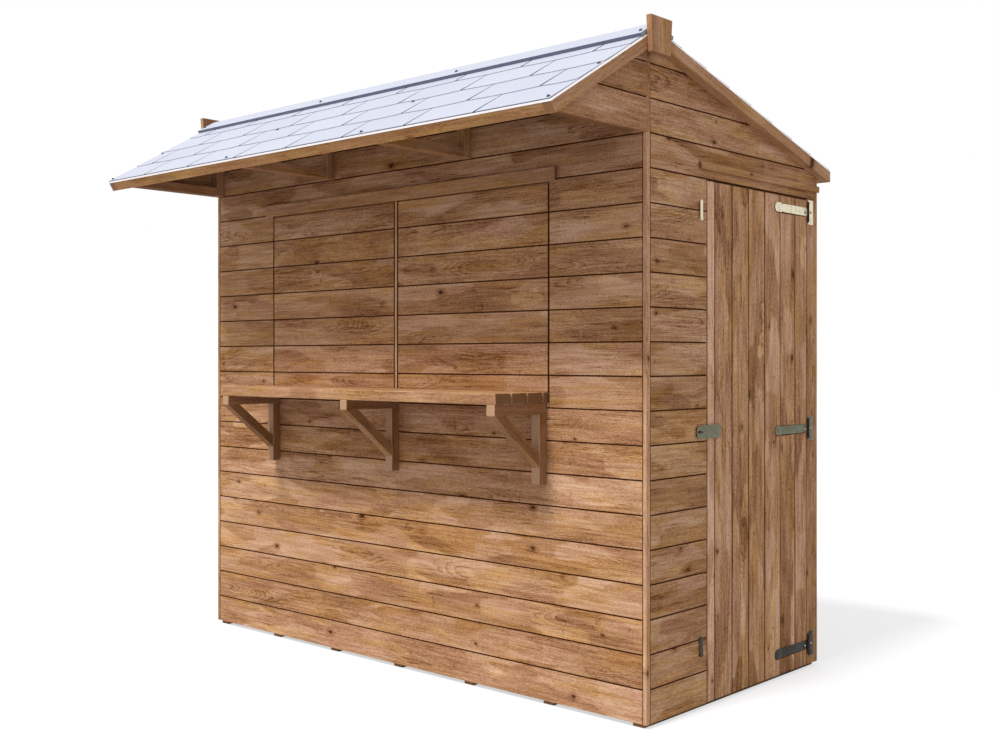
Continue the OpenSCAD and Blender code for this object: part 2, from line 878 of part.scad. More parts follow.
// Base plate and rod loop of the staple, on the wall beside the door
module hasp_staple() {
    color(metal_colour)
        translate([side_x, staple_y, hasp_height]) {
            block([0, -staple_width / 2 - 2, -14], [plate_thick, staple_width / 2 + 2, 14]);
            for (side = [-1, 1])
                translate([0, side * (staple_width - staple_rod) / 2, 0]) rotate([0, 90, 0])
                    cylinder(h = staple_reach - staple_width / 2, r = staple_rod / 2);
            translate([staple_reach - staple_width / 2, 0, 0]) rotate([0, 0, -90])
                rotate_extrude(angle = 180)
                    translate([(staple_width - staple_rod) / 2, 0]) circle(r = staple_rod / 2);
        }
}

// Fixed leaf of the hasp on the door, with its two knuckles and pin
module hasp_leaf() {
    color(metal_colour) {
        block([side_x, door_front + door_gap + 6, hasp_height - hasp_width / 2 + 3],
              [side_x + plate_thick, hasp_y, hasp_height + hasp_width / 2 - 3]);
        for (side = [-1, 1])
            translate([0, 0, hasp_height]) mirror([0, 0, side < 0 ? 1 : 0]) {
                translate([hasp_x, hasp_y, 9]) cylinder(h = hasp_width / 2 - 9, r = hasp_radius);
                block([side_x + plate_thick / 2, hasp_y - 1, 9], [hasp_x, hasp_y + 1, hasp_width / 2 - 3]);
            }
        translate([hasp_x, hasp_y, hasp_height - 10]) cylinder(h = 20, r = 1.2);
    }
}

// Swinging strap of the hasp: a round-ended plate with a slot for the staple
module hasp_strap() {
    end = hasp_width / 2;
    color(metal_colour)
        difference() {
            union() {
                translate([hasp_x + 0.5, hasp_y, hasp_height]) rotate([90, 0, 90]) mirror([1, 0, 0])
                    linear_extrude(plate_thick)
                        union() {
                            translate([3, -end]) square([hasp_length - end - 3, 2 * end]);
                            translate([0, -8]) square([4, 16]);
                            translate([hasp_length - end, 0]) circle(r = end);
                        }
                translate([hasp_x, hasp_y, hasp_height - 8]) cylinder(h = 16, r = hasp_radius + 0.5);
            }
            translate([hasp_x, hasp_y, hasp_height - 9]) cylinder(h = 18, r = 1.2 + pin_fit);
            block([side_x, staple_y - staple_width / 2 - 3, hasp_height - staple_rod / 2 - 2],
                  [side_x + 20, staple_y + staple_width / 2 + 3, hasp_height + staple_rod / 2 + 2]);
        }
}

// Screws that hold the turn buttons, each with a spacer behind the button and a head
module turn_button_screws() {
    color(metal_colour)
        for (z = button_heights)
            translate([side_x, button_y, z]) rotate([0, 90, 0]) {
                cylinder(h = button_lift - 0.3, r = 5);
                cylinder(h = button_lift + button_thick + 1, r = 2.5);
                translate([0, 0, button_lift + button_thick + 0.3]) cylinder(h = 2.5, r = 5);
            }
}

// A turn button stands upright on its screw at rest
module turn_button(z) {
    color(metal_colour)
        translate([side_x + button_lift, button_y, z]) rotate([0, 90, 0])
            linear_extrude(button_thick)
                difference() {
                    union() {
                        circle(r = button_width / 2);
                        translate([-button_reach + button_width / 2, -button_width / 2])
                            square([button_reach - button_width / 2, button_width]);
                        translate([-button_reach + button_width / 2, 0])
                            circle(r = button_width / 2);
                    }
                    circle(r = 2.5 + pin_fit);
                }
}

module turn_button_lower() {
    turn_button(button_heights[0]);
}

module turn_button_upper() {
    turn_button(button_heights[1]);
}

floor_bearers();
floor_boards();
front_wall_lower();
front_wall_sides();
front_wall_upper();
hatch_panels();
hatch_cover_strip();
drip_battens();
back_wall();
left_gable();
right_gable_front();
right_gable_upper();
right_gable_post();
canopy_infills();
corner_trims();
long_wall_studs();
gable_studs();
long_wall_rails();
gable_rails();
canopy_posts();
canopy_ties();
canopy_rafters();
rear_rafters();
fascias();
front_barge_boards();
rear_barge_boards();
finials();
front_roof_sheet();
rear_roof_sheet();
ridge_capping();
shelf_slats();
bracket_legs();
bracket_arms();
bracket_braces();
hinge_plates();
hasp_staple();
turn_button_screws();
door_leaf();
door_ledges();
door_braces();
hinge_straps();
hasp_leaf();
hasp_strap();
turn_button_upper();
turn_button_lower();
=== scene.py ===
# Garden bar shed: boards, timbers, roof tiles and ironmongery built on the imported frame.
import json
import math

import bmesh
import bpy
import numpy as np
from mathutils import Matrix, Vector

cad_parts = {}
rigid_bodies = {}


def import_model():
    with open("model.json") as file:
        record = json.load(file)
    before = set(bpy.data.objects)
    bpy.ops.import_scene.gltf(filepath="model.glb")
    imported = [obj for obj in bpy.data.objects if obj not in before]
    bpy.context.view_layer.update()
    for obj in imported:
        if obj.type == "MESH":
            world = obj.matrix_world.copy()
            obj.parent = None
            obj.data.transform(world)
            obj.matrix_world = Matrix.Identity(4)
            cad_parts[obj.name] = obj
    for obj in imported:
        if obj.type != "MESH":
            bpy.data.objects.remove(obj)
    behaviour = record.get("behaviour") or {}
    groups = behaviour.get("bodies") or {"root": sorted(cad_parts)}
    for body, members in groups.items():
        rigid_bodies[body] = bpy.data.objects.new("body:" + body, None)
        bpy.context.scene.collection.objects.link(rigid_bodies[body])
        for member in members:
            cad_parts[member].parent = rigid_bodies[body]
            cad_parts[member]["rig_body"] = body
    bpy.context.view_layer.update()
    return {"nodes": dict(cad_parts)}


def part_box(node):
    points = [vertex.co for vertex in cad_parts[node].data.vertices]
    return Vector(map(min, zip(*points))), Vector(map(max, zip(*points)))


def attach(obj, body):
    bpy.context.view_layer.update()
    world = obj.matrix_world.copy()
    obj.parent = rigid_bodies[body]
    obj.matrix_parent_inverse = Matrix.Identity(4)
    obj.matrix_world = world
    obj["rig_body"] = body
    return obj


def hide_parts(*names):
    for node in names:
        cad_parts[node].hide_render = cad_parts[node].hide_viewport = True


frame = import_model()
nodes = frame["nodes"]
random = np.random.default_rng(11)
scene = bpy.context.scene
scene.view_settings.view_transform = "Standard"

cameraValues = {
    "place": (3.5059, -3.8177, 1.2118),
    "turn": (90.0, 0.0, 42.351),   # degrees
    "lens": 43.58,
    "shiftUp": -0.0162,
}


def makeCamera(values):
    lens = bpy.data.cameras.new("camera")
    lens.lens = values["lens"]
    lens.sensor_width = 36
    lens.shift_y = values["shiftUp"]
    lens.clip_end = 200
    camera = bpy.data.objects.new("camera", lens)
    camera.location = values["place"]
    camera.rotation_euler = [math.radians(angle) for angle in values["turn"]]
    scene.collection.objects.link(camera)
    scene.camera = camera


makeCamera(cameraValues)
print("camera placed")


def rgb(red, green, blue):
    # colour on the 0 to 255 scale to the linear values that shaders use
    def linear(part):
        part /= 255
        return part / 12.92 if part <= 0.04045 else ((part + 0.055) / 1.055) ** 2.4
    return (linear(red), linear(green), linear(blue), 1.0)


def addNode(tree, kind, inputs=None, **settings):
    node = tree.nodes.new(kind)
    for key, value in settings.items():
        setattr(node, key, value)
    for key, value in (inputs or {}).items():
        if isinstance(value, bpy.types.NodeSocket):
            tree.links.new(value, node.inputs[key])
        else:
            node.inputs[key].default_value = value
    return node


def calc(tree, operation, first, second=0.0, third=0.0, clamp=False):
    return addNode(tree, "ShaderNodeMath", {0: first, 1: second, 2: third},
                   operation=operation, use_clamp=clamp).outputs[0]


def blendColors(tree, factor, first, second, how="MIX"):
    return addNode(tree, "ShaderNodeMix", {0: factor, 6: first, 7: second},
                   data_type="RGBA", blend_type=how).outputs[2]


def ramp(tree, value, low, high, start=0.0, end=1.0):
    # smooth step from start to end while value goes from low to high
    return addNode(tree, "ShaderNodeMapRange", {0: value, 1: low, 2: high, 3: start, 4: end},
                   interpolation_type="SMOOTHSTEP").outputs[0]


def stretch(tree, vector, factors):
    return addNode(tree, "ShaderNodeVectorMath", {0: vector, 1: factors},
                   operation="MULTIPLY").outputs[0]


def noise(tree, vector, scale=1.0, detail=2.0, roughness=0.5):
    return addNode(tree, "ShaderNodeTexNoise",
                   {"Vector": vector, "Scale": scale, "Detail": detail,
                    "Roughness": roughness}).outputs[0]


def attribute(tree, name, part):
    return addNode(tree, "ShaderNodeAttribute", attribute_name=name).outputs[part]


def objectPlace(tree):
    return addNode(tree, "ShaderNodeTexCoord").outputs["Object"]


def split(tree, vector):
    return addNode(tree, "ShaderNodeSeparateXYZ", {0: vector}).outputs


def splitColor(tree, color):
    return addNode(tree, "ShaderNodeSeparateColor", {0: color}).outputs


def seesBackground(tree):
    # 1 for the rays that show the background: straight, by reflection and through glass
    rays = addNode(tree, "ShaderNodeLightPath").outputs
    return calc(tree, "ADD", rays["Is Camera Ray"],
                calc(tree, "ADD", rays["Is Glossy Ray"], rays["Is Transmission Ray"]), clamp=True)


def newGroup(name, inputs, outputs):
    tree = bpy.data.node_groups.new(name, "ShaderNodeTree")
    for direction, sockets in (("INPUT", inputs), ("OUTPUT", outputs)):
        for label, kind in sockets:
            tree.interface.new_socket(label, in_out=direction, socket_type="NodeSocket" + kind)
    return tree, tree.nodes.new("NodeGroupInput").outputs, tree.nodes.new("NodeGroupOutput").inputs


def newMaterial(name):
    material = bpy.data.materials.new(name)
    material.use_nodes = True
    tree = material.node_tree
    tree.nodes.clear()
    shader = tree.nodes.new("ShaderNodeBsdfPrincipled")
    output = tree.nodes.new("ShaderNodeOutputMaterial")
    tree.links.new(shader.outputs[0], output.inputs[0])
    return material, tree, shader


def addBump(tree, shader, height, strength, distance):
    bump = addNode(tree, "ShaderNodeBump",
                   {"Strength": strength, "Distance": distance, "Height": height})
    tree.links.new(bump.outputs[0], shader.inputs["Normal"])


grainValues = {
    # waves to the metre along the board, across it and through it
    "knotCells": (2.3, 5.6, 0.0), "knotRough": (110.0, 110.0, 110.0), "wander": (1.3, 0.4, 0.4),
    "ripple": (9.0, 40.0, 40.0), "patch": (2.6, 9.0, 9.0), "streaks": (4.5, 95.0, 95.0),
    "lines": (11.0, 240.0, 240.0), "specks": (95.0, 330.0, 330.0),
    "blotches": (3.6, 27.0, 27.0), "stain": (34.0, 15.0, 15.0), "blocks": (5.2, 16.0, 0.0),
    "hue": (3.0, 26.0, 26.0),
    "knotShape": (0.25, 0.18, 0.0),         # longer along the board than across
    "knotSize": (0.0030, 0.0064),           # smallest radius, and how much more the largest has
    "knotShare": (0.46, 0.48),              # cells below this chance have no knot
    "knotPush": 0.010,                      # how far a knot bends the rings
    "ringWidth": (0.0034, 0.0026),          # narrowest, and how much more the widest has
}


def woodGrainGroup(sizes):
    # A board is a slice of a log. Its rings are the distance root(across^2 + depth^2) from a
    # heart that wanders along the board; knots push the rings aside. Streaks, fibres and
    # weathered patches are noises drawn out along the board.
    tree, given, result = newGroup(
        "woodGrain",
        [("Light", "Color"), ("Middle", "Color"), ("Dark", "Color"), ("Pink", "Color"),
         ("Gold", "Color"), ("Knot", "Color"), ("Rings", "Float"), ("Streaks", "Float"),
         ("Blotches", "Float")],
        [("Color", "Color"), ("Height", "Float"), ("Roughness", "Float")])
    grain = attribute(tree, "grain", "Vector")
    tone = attribute(tree, "tone", "Vector")
    along, across, depth = split(tree, grain)
    first, second, third = split(tree, tone)
    apart = stretch(tree, tone, (0.0, 23.0, 31.0))
    place = addNode(tree, "ShaderNodeVectorMath", {0: grain, 1: apart}, operation="ADD").outputs[0]

    def centred(value, gain):
        return calc(tree, "MULTIPLY", calc(tree, "SUBTRACT", value, 0.5), gain)

    def product(*values):
        total = values[0]
        for value in values[1:]:
            total = calc(tree, "MULTIPLY", total, value)
        return total

    # knots: one may sit in each cell of the board
    cells = stretch(tree, place, sizes["knotCells"])
    knots = addNode(tree, "ShaderNodeTexVoronoi", {"Vector": cells, "Scale": 1.0},
                    voronoi_dimensions="2D")
    reach = stretch(tree, addNode(tree, "ShaderNodeVectorMath",
                                  {0: knots.outputs["Position"], 1: cells},
                                  operation="SUBTRACT").outputs[0], sizes["knotShape"])
    rough = noise(tree, stretch(tree, place, sizes["knotRough"]), 1.0, 2.0, 0.6)
    away = calc(tree, "MULTIPLY_ADD", rough, 0.007,
                calc(tree, "SUBTRACT", addNode(tree, "ShaderNodeVectorMath", {0: reach},
                                               operation="LENGTH").outputs["Value"], 0.0035))
    chance = splitColor(tree, knots.outputs["Color"])
    present = ramp(tree, chance[0], *sizes["knotShare"])
    smallest, more = sizes["knotSize"]
    near = calc(tree, "DIVIDE", away, calc(tree, "MULTIPLY_ADD", chance[1], more, smallest))
    core = product(ramp(tree, near, 0.4, 1.2, 1.0, 0.0), present,
                   ramp(tree, chance[2], 0.2, 0.7, 0.65, 1.0))
    halo = product(ramp(tree, near, 0.8, 3.0, 1.0, 0.0), present)
    push = product(calc(tree, "EXPONENT", product(near, near, -0.12)), present)

    # growth rings: thin dark lines that come and go
    wander = splitColor(tree, addNode(
        tree, "ShaderNodeTexNoise", {"Vector": stretch(tree, place, sizes["wander"]),
                                     "Scale": 1.0, "Detail": 2.0}).outputs[1])
    sideways = calc(tree, "ADD", across, calc(tree, "ADD", centred(wander[0], 0.12),
                                              centred(third, 0.08)))
    inward = calc(tree, "ADD", depth, calc(tree, "ADD", centred(wander[1], 0.14),
                                           calc(tree, "MULTIPLY_ADD", second, 0.06, 0.025)))
    radius = calc(tree, "SQRT", calc(tree, "ADD", product(sideways, sideways),
                                     product(inward, inward)))
    radius = calc(tree, "MULTIPLY_ADD", push, sizes["knotPush"], radius)
    ripple = noise(tree, stretch(tree, place, sizes["ripple"]), 1.0, 3.0, 0.6)
    narrow, wider = sizes["ringWidth"]
    turns = calc(tree, "MULTIPLY_ADD", ripple, 1.7,
                 calc(tree, "DIVIDE", radius, calc(tree, "MULTIPLY_ADD", first, wider, narrow)))
    patch = noise(tree, stretch(tree, place, sizes["patch"]), 1.0, 2.0)
    rings = product(calc(tree, "POWER", calc(tree, "FRACT", turns), 3.2),
                    ramp(tree, patch, 0.48, 0.64, 0.06, 1.0), given["Rings"])

    # streaks, weathered patches and fine specks
    streaks = noise(tree, stretch(tree, place, sizes["streaks"]), 1.0, 4.0, 0.68)
    lines = noise(tree, stretch(tree, place, sizes["lines"]), 1.0, 3.0, 0.62)
    scratches = product(ramp(tree, lines, 0.52, 0.7), ramp(tree, patch, 0.3, 0.56, 0.25, 1.0))
    specks = noise(tree, stretch(tree, place, sizes["specks"]), 1.0, 2.0, 0.65)
    blotches = noise(tree, stretch(tree, place, sizes["blotches"]), 1.0, 5.0, 0.6)
    stain = noise(tree, stretch(tree, place, sizes["stain"]), 1.0, 4.0, 0.7)
    blocks = splitColor(tree, addNode(
        tree, "ShaderNodeTexVoronoi", {"Vector": stretch(tree, place, sizes["blocks"]),
                                       "Scale": 1.0, "Smoothness": 0.2},
        voronoi_dimensions="2D", feature="SMOOTH_F1", distance="CHEBYCHEV").outputs[1])
    hue = noise(tree, addNode(tree, "ShaderNodeVectorMath",
                              {0: stretch(tree, place, sizes["hue"]), 1: (7.7, 3.1, 9.4)},
                              operation="ADD").outputs[0], 1.0, 4.0, 0.6)

    level = calc(tree, "MULTIPLY_ADD", first, 0.14, 0.47)
    for part in (product(centred(blotches, 1.15), given["Blotches"]),
                 product(centred(blocks[0], 0.6), given["Blotches"]),
                 product(centred(streaks, 1.42), given["Streaks"]),
                 product(centred(specks, 1.6), given["Streaks"])):
        level = calc(tree, "ADD", level, part)
    for part in (product(scratches, given["Streaks"], 0.56),
                 product(ramp(tree, stain, 0.6, 0.76), given["Blotches"], 0.5),
                 product(rings, 0.56), product(halo, 0.22)):
        level = calc(tree, "SUBTRACT", level, part)
    lower = calc(tree, "MULTIPLY", level, 2.0, clamp=True)
    upper = calc(tree, "MULTIPLY_ADD", level, 2.0, -1.0, clamp=True)
    color = blendColors(tree, lower, given["Dark"], given["Middle"])
    color = blendColors(tree, upper, color, given["Light"])
    warmth = calc(tree, "ADD", hue, calc(tree, "ADD", centred(blocks[1], 0.16),
                                         centred(third, 0.1)))
    color = blendColors(tree, ramp(tree, warmth, 0.47, 0.66), color, given["Pink"], "MULTIPLY")
    color = blendColors(tree, ramp(tree, warmth, 0.32, 0.56, 1.0, 0.0), color, given["Gold"],
                        "MULTIPLY")
    color = blendColors(tree, calc(tree, "MULTIPLY", core, 0.95), color, given["Knot"])
    tree.links.new(color, result["Color"])
    height = calc(tree, "ADD", product(rings, -0.4), centred(streaks, 0.5))
    height = calc(tree, "SUBTRACT", height, product(scratches, 0.35))
    height = calc(tree, "ADD", height, centred(specks, 0.4))
    tree.links.new(calc(tree, "SUBTRACT", height, product(core, 0.4)), result["Height"])
    tree.links.new(calc(tree, "SUBTRACT", 0.78, calc(tree, "MULTIPLY", level, 0.2)),
                   result["Roughness"])
    return tree


def woodEdgesGroup():
    # dirt in the joints, painted shade where the shade attribute is set, arrises worn pale, and
    # the colour of sawn ends
    tree, given, result = newGroup(
        "woodEdges",
        [("Color", "Color"), ("DirtAndShade", "Color"), ("Worn", "Color"), ("End", "Color"),
         ("Wear", "Float"), ("Sawn", "Float")],
        [("Color", "Color")])
    place = objectPlace(tree)
    patches = noise(tree, place, 14.0, 3.0)
    pores = noise(tree, place, 420.0, 2.0)
    # rim: dirt in the joints, painted shade at board ends and painted shadow round the straps;
    # shade: painted shade
    rim = calc(tree, "MAXIMUM", attribute(tree, "rim", "Fac"), attribute(tree, "shade", "Fac"))
    arris = attribute(tree, "arris", "Fac")
    sawn = calc(tree, "MULTIPLY", attribute(tree, "endGrain", "Fac"), given["Sawn"])
    end = blendColors(tree, ramp(tree, pores, 0.4, 0.7, 0.0, 0.45), given["End"], given["DirtAndShade"])
    color = blendColors(tree, sawn, given["Color"], end)
    paleEdges = calc(tree, "MULTIPLY", calc(tree, "MULTIPLY", arris, given["Wear"]),
                ramp(tree, patches, 0.35, 0.6))
    color = blendColors(tree, paleEdges, color, given["Worn"])
    tree.links.new(blendColors(tree, rim, color, given["DirtAndShade"]), result["Color"])
    return tree


woodGrain = woodGrainGroup(grainValues)
woodEdges = woodEdgesGroup()

stainedValues = {
    "Light": rgb(228, 190, 160), "Middle": rgb(181, 136, 98), "Dark": rgb(108, 64, 32),
    "Pink": rgb(251, 243, 247), "Gold": rgb(253, 244, 213), "Knot": rgb(52, 28, 14),
    "Rings": 0.65, "Streaks": 0.6, "Blotches": 0.5,
}
trimValues = dict(stainedValues, Light=rgb(240, 204, 172), Middle=rgb(202, 158, 122),
                  Dark=rgb(150, 104, 68), Blotches=0.3)
barValues = dict(stainedValues, Streaks=0.4, Blotches=0.25, Rings=0.35)
fasciaValues = dict(barValues, Light=rgb(246, 206, 160), Middle=rgb(198, 149, 99),
                    Dark=rgb(120, 72, 34))
doorWoodValues = dict(stainedValues, Light=rgb(238, 200, 168), Middle=rgb(188, 142, 104),
                      Streaks=0.62, Blotches=0.66)
timberValues = {
    "Light": rgb(220, 180, 144), "Middle": rgb(180, 136, 98), "Dark": rgb(120, 80, 48),
    "Pink": rgb(250, 244, 250), "Gold": rgb(252, 244, 210), "Knot": rgb(70, 44, 26),
    "Rings": 0.5, "Streaks": 0.55, "Blotches": 0.35,
}
bracketValues = dict(timberValues, Light=rgb(206, 166, 128), Middle=rgb(166, 124, 86),
                     Dark=rgb(108, 74, 46))
bearerValues = {
    "Light": rgb(150, 122, 92), "Middle": rgb(118, 92, 64), "Dark": rgb(76, 58, 40),
    "Pink": rgb(240, 236, 236), "Gold": rgb(244, 240, 206), "Knot": rgb(48, 36, 26),
    "Rings": 0.7, "Streaks": 0.6, "Blotches": 0.5,
}
edgeValues = {
    # DirtAndShade is the dark of the joints and also the colour of painted shade
    "DirtAndShade": rgb(80, 36, 6), "Worn": rgb(214, 176, 140), "End": rgb(176, 130, 92),
    "Wear": 0.3, "Sawn": 0.7,
}
paleEnds = dict(edgeValues, End=rgb(200, 161, 127), Sawn=0.85)
darkEnds = dict(edgeValues, End=rgb(122, 88, 60), Sawn=0.85)


def woodMaterial(name, values, edges):
    material, tree, shader = newMaterial(name)
    grain = addNode(tree, "ShaderNodeGroup", node_tree=woodGrain)
    for key, value in values.items():
        grain.inputs[key].default_value = value
    finish = addNode(tree, "ShaderNodeGroup", node_tree=woodEdges)
    for key, value in edges.items():
        finish.inputs[key].default_value = value
    tree.links.new(grain.outputs["Color"], finish.inputs["Color"])
    tree.links.new(finish.outputs["Color"], shader.inputs["Base Color"])
    tree.links.new(grain.outputs["Roughness"], shader.inputs["Roughness"])
    shader.inputs["Specular IOR Level"].default_value = 0.08
    addBump(tree, shader, grain.outputs["Height"], 0.35, 0.0012)
    return material


stainedWood = woodMaterial("stainedBoards", stainedValues, edgeValues)
doorWood = woodMaterial("stainedDoor", doorWoodValues, edgeValues)
trimWood = woodMaterial("stainedTrims", trimValues, edgeValues)
timberWood = woodMaterial("frameTimber", timberValues, edgeValues)
barWood = woodMaterial("stainedBars", barValues, edgeValues)
fasciaWood = woodMaterial("stainedFascias", fasciaValues, edgeValues)
bracketWood = woodMaterial("bracketTimber", bracketValues, paleEnds)
slatWood = woodMaterial("slatTimber", timberValues, darkEnds)
battenWood = woodMaterial("stainedBattens", barValues, darkEnds)
bearerWood = woodMaterial("bearerTimber", bearerValues, edgeValues)

tileColors = {
    "face": rgb(181, 185, 199), "pale": rgb(191, 194, 206), "edge": rgb(98, 102, 124),
}
sheetColors = {"side": rgb(255, 249, 250), "joint": rgb(28, 31, 50), "under": rgb(150, 152, 160)}
metalColors = {
    "high": rgb(240, 230, 200), "middle": rgb(102, 102, 80), "low": rgb(27, 27, 23),
    "dull": rgb(96, 92, 74), "shade": rgb(62, 36, 18), "headHigh": rgb(50, 38, 22),
    "head": rgb(255, 250, 232),
}


def tileMaterial(colors):
    # coated tiles: fine grit, faint clouds, and darker cut edges
    material, tree, shader = newMaterial("roofTiles")
    place = objectPlace(tree)
    clouds = noise(tree, place, 5.0, 4.0)
    grit = noise(tree, place, 900.0, 2.0)
    tone = split(tree, attribute(tree, "tone", "Vector"))[0]
    mixed = calc(tree, "MULTIPLY_ADD", tone, 0.5, calc(tree, "MULTIPLY", clouds, 0.5))
    color = blendColors(tree, mixed, colors["face"], colors["pale"])
    color = blendColors(tree, calc(tree, "MULTIPLY", grit, 0.12), color, colors["edge"])
    color = blendColors(tree, attribute(tree, "edge", "Fac"), color, colors["edge"])
    tree.links.new(color, shader.inputs["Base Color"])
    tree.links.new(ramp(tree, grit, 0.3, 0.7, 0.5, 0.66), shader.inputs["Roughness"])
    shader.inputs["Specular IOR Level"].default_value = 0.3
    addBump(tree, shader, grit, 0.15, 0.0005)
    return material


def sheetMaterial(colors):
    # sheet under the tiles: near-white folded edge, its pale colour raised by a painted
    # reflection; dark face between the tiles
    material, tree, shader = newMaterial("roofSheet")
    place = objectPlace(tree)
    marks = noise(tree, place, 30.0, 3.0)
    side = blendColors(tree, ramp(tree, marks, 0.5, 0.8, 0.0, 0.12), colors["side"],
                       colors["under"])
    color = blendColors(tree, attribute(tree, "edge", "Fac"), colors["joint"], side)
    color = blendColors(tree, attribute(tree, "under", "Fac"), color, colors["under"])
    tree.links.new(color, shader.inputs["Base Color"])
    tree.links.new(ramp(tree, marks, 0.3, 0.7, 0.45, 0.6), shader.inputs["Roughness"])
    shader.inputs["Specular IOR Level"].default_value = 0.3
    return material


def zincMaterial(name, colors):
    # zinc plate: a painted reflection, bright high up under the roof and darker towards the
    # ground; dull patches over it
    material, tree, shader = newMaterial(name)
    place = objectPlace(tree)
    height = split(tree, place)[2]
    spangle = addNode(tree, "ShaderNodeTexVoronoi", {"Vector": place, "Scale": 160.0}).outputs[1]
    bloom = noise(tree, place, 45.0, 4.0, 0.6)
    grey = splitColor(tree, spangle)[0]
    color = blendColors(tree, ramp(tree, height, 0.2, 0.85), colors["low"], colors["middle"])
    color = blendColors(tree, ramp(tree, height, 1.1, 1.65), color, colors["high"])
    color = blendColors(tree, ramp(tree, bloom, 0.5, 0.72, 0.0, 0.35), color, colors["dull"])
    color = blendColors(tree, calc(tree, "MULTIPLY", grey, 0.18), color, rgb(255, 255, 250),
                        "SOFT_LIGHT")
    # paler arrises: wear, and a painted highlight on the edges
    color = blendColors(tree, calc(tree, "MULTIPLY", attribute(tree, "arris", "Fac"), 0.4), color,
                        rgb(220, 216, 196))
    # shade: painted shade on the knuckles and the staple, which also lose their metal look
    shade = attribute(tree, "shade", "Fac")
    tree.links.new(blendColors(tree, shade, color, colors["shade"]), shader.inputs["Base Color"])
    tree.links.new(calc(tree, "MAXIMUM", ramp(tree, bloom, 0.3, 0.75, 0.38, 0.62), shade),
                   shader.inputs["Roughness"])
    tree.links.new(calc(tree, "MULTIPLY_ADD", shade, -0.55, 0.55), shader.inputs["Metallic"])
    addBump(tree, shader, bloom, 0.12, 0.0006)
    return material


def plateScrewMaterial(colors):
    # heads: a painted highlight, bright on the lower hinges and darker than the bright plates at
    # the top; painted shadow round the rims where shade is set
    material, tree, shader = newMaterial("plateScrewHeads")
    place = objectPlace(tree)
    height = split(tree, place)[2]
    marks = noise(tree, place, 300.0, 3.0)
    color = blendColors(tree, ramp(tree, height, 1.2, 1.6), colors["head"], colors["headHigh"])
    color = blendColors(tree, attribute(tree, "shade", "Fac"), color, colors["shade"])
    color = blendColors(tree, ramp(tree, marks, 0.5, 0.8, 0.0, 0.4), color, colors["dull"])
    tree.links.new(color, shader.inputs["Base Color"])
    tree.links.new(ramp(tree, marks, 0.3, 0.7, 0.35, 0.55), shader.inputs["Roughness"])
    shader.inputs["Metallic"].default_value = 0.3
    return material


def screwMaterial():
    material, tree, shader = newMaterial("darkScrews")
    place = objectPlace(tree)
    marks = noise(tree, place, 260.0, 3.0)
    tree.links.new(blendColors(tree, marks, rgb(38, 40, 52), rgb(74, 77, 92)),
                   shader.inputs["Base Color"])
    tree.links.new(ramp(tree, marks, 0.3, 0.7, 0.4, 0.6), shader.inputs["Roughness"])
    shader.inputs["Metallic"].default_value = 0.4
    return material


roofTiles = tileMaterial(tileColors)
roofSheet = sheetMaterial(sheetColors)
zinc = zincMaterial("zincPlate", metalColors)
darkScrews = screwMaterial()
brightScrews = plateScrewMaterial(metalColors)
print("finishes made")


def finishMesh(name, points, faces, material, body, stands=(), smoothAngle=None):
    mesh = bpy.data.meshes.new(name)
    mesh.from_pydata(points.reshape(-1, 3).tolist(), [], faces)
    shaped = bmesh.new()
    shaped.from_mesh(mesh)
    bmesh.ops.recalc_face_normals(shaped, faces=shaped.faces)
    shaped.to_mesh(mesh)
    shaped.free()
    mesh.materials.append(material)
    if smoothAngle:
        mesh.shade_smooth()
        mesh.set_sharp_from_angle(angle=math.radians(smoothAngle))
    piece = bpy.data.objects.new(name, mesh)
    scene.collection.objects.link(piece)
    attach(piece, body)
    if stands:
        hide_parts(*stands)
    return piece


def writeAttribute(piece, name, kind, domain, values):
    layer = piece.data.attributes.new(name, kind, domain)
    field = "vector" if kind == "FLOAT_VECTOR" else "value"
    layer.data.foreach_set(field, np.asarray(values, np.float32).ravel())


def faceNormals(piece):
    normals = np.zeros(len(piece.data.polygons) * 3, np.float32)
    piece.data.polygons.foreach_get("normal", normals)
    return normals.reshape(-1, 3)


def faceMiddles(piece):
    middles = np.zeros(len(piece.data.polygons) * 3, np.float32)
    piece.data.polygons.foreach_get("center", middles)
    return middles.reshape(-1, 3)


def barFaces(bars, stations, count):
    # quads round every bar from station to station, and a flat cap on each end
    index = np.arange(bars * stations * count).reshape(bars, stations, count)
    turned = np.roll(index, -1, axis=2)
    quads = np.stack([index[:, :-1], turned[:, :-1], turned[:, 1:], index[:, 1:]], axis=-1)
    caps = np.concatenate([index[:, 0, ::-1], index[:, -1]])
    return quads.reshape(-1, 4).tolist() + caps.tolist()


boardValues = {
    "thick": 0.012,
    "cover": 0.114,        # height of wall under one board
    "foot": 0.014,         # lower edge of the lowest board
    "joint": 0.0046,       # width of the dark joint
    "jointDeep": 0.0035,
    "arris": 0.0009,       # rounding of the board's edges
    # endRim: painted shade, the dark margin beside the gaps at a board's ends
    "endRim": 0.0030,      # dark margin at a board's ends
    "stray": 0.0005,       # how far a board may stand proud or back
}


def courses(low, high, foot=boardValues["foot"], cover=boardValues["cover"]):
    # rows of boards between two heights: lower edge, upper edge, joint below, joint above
    rows = []
    first = int(math.floor((low - foot) / cover + 1e-6))
    while foot + first * cover < high - 1e-6:
        bottom, top = foot + first * cover, foot + (first + 1) * cover
        joinsBelow = bottom > low - 1e-6 and bottom > foot + 1e-6
        rows.append((max(bottom, low), min(top, high), joinsBelow, top < high + 1e-6,
                     (bottom + top) / 2))
        first += 1
    return rows


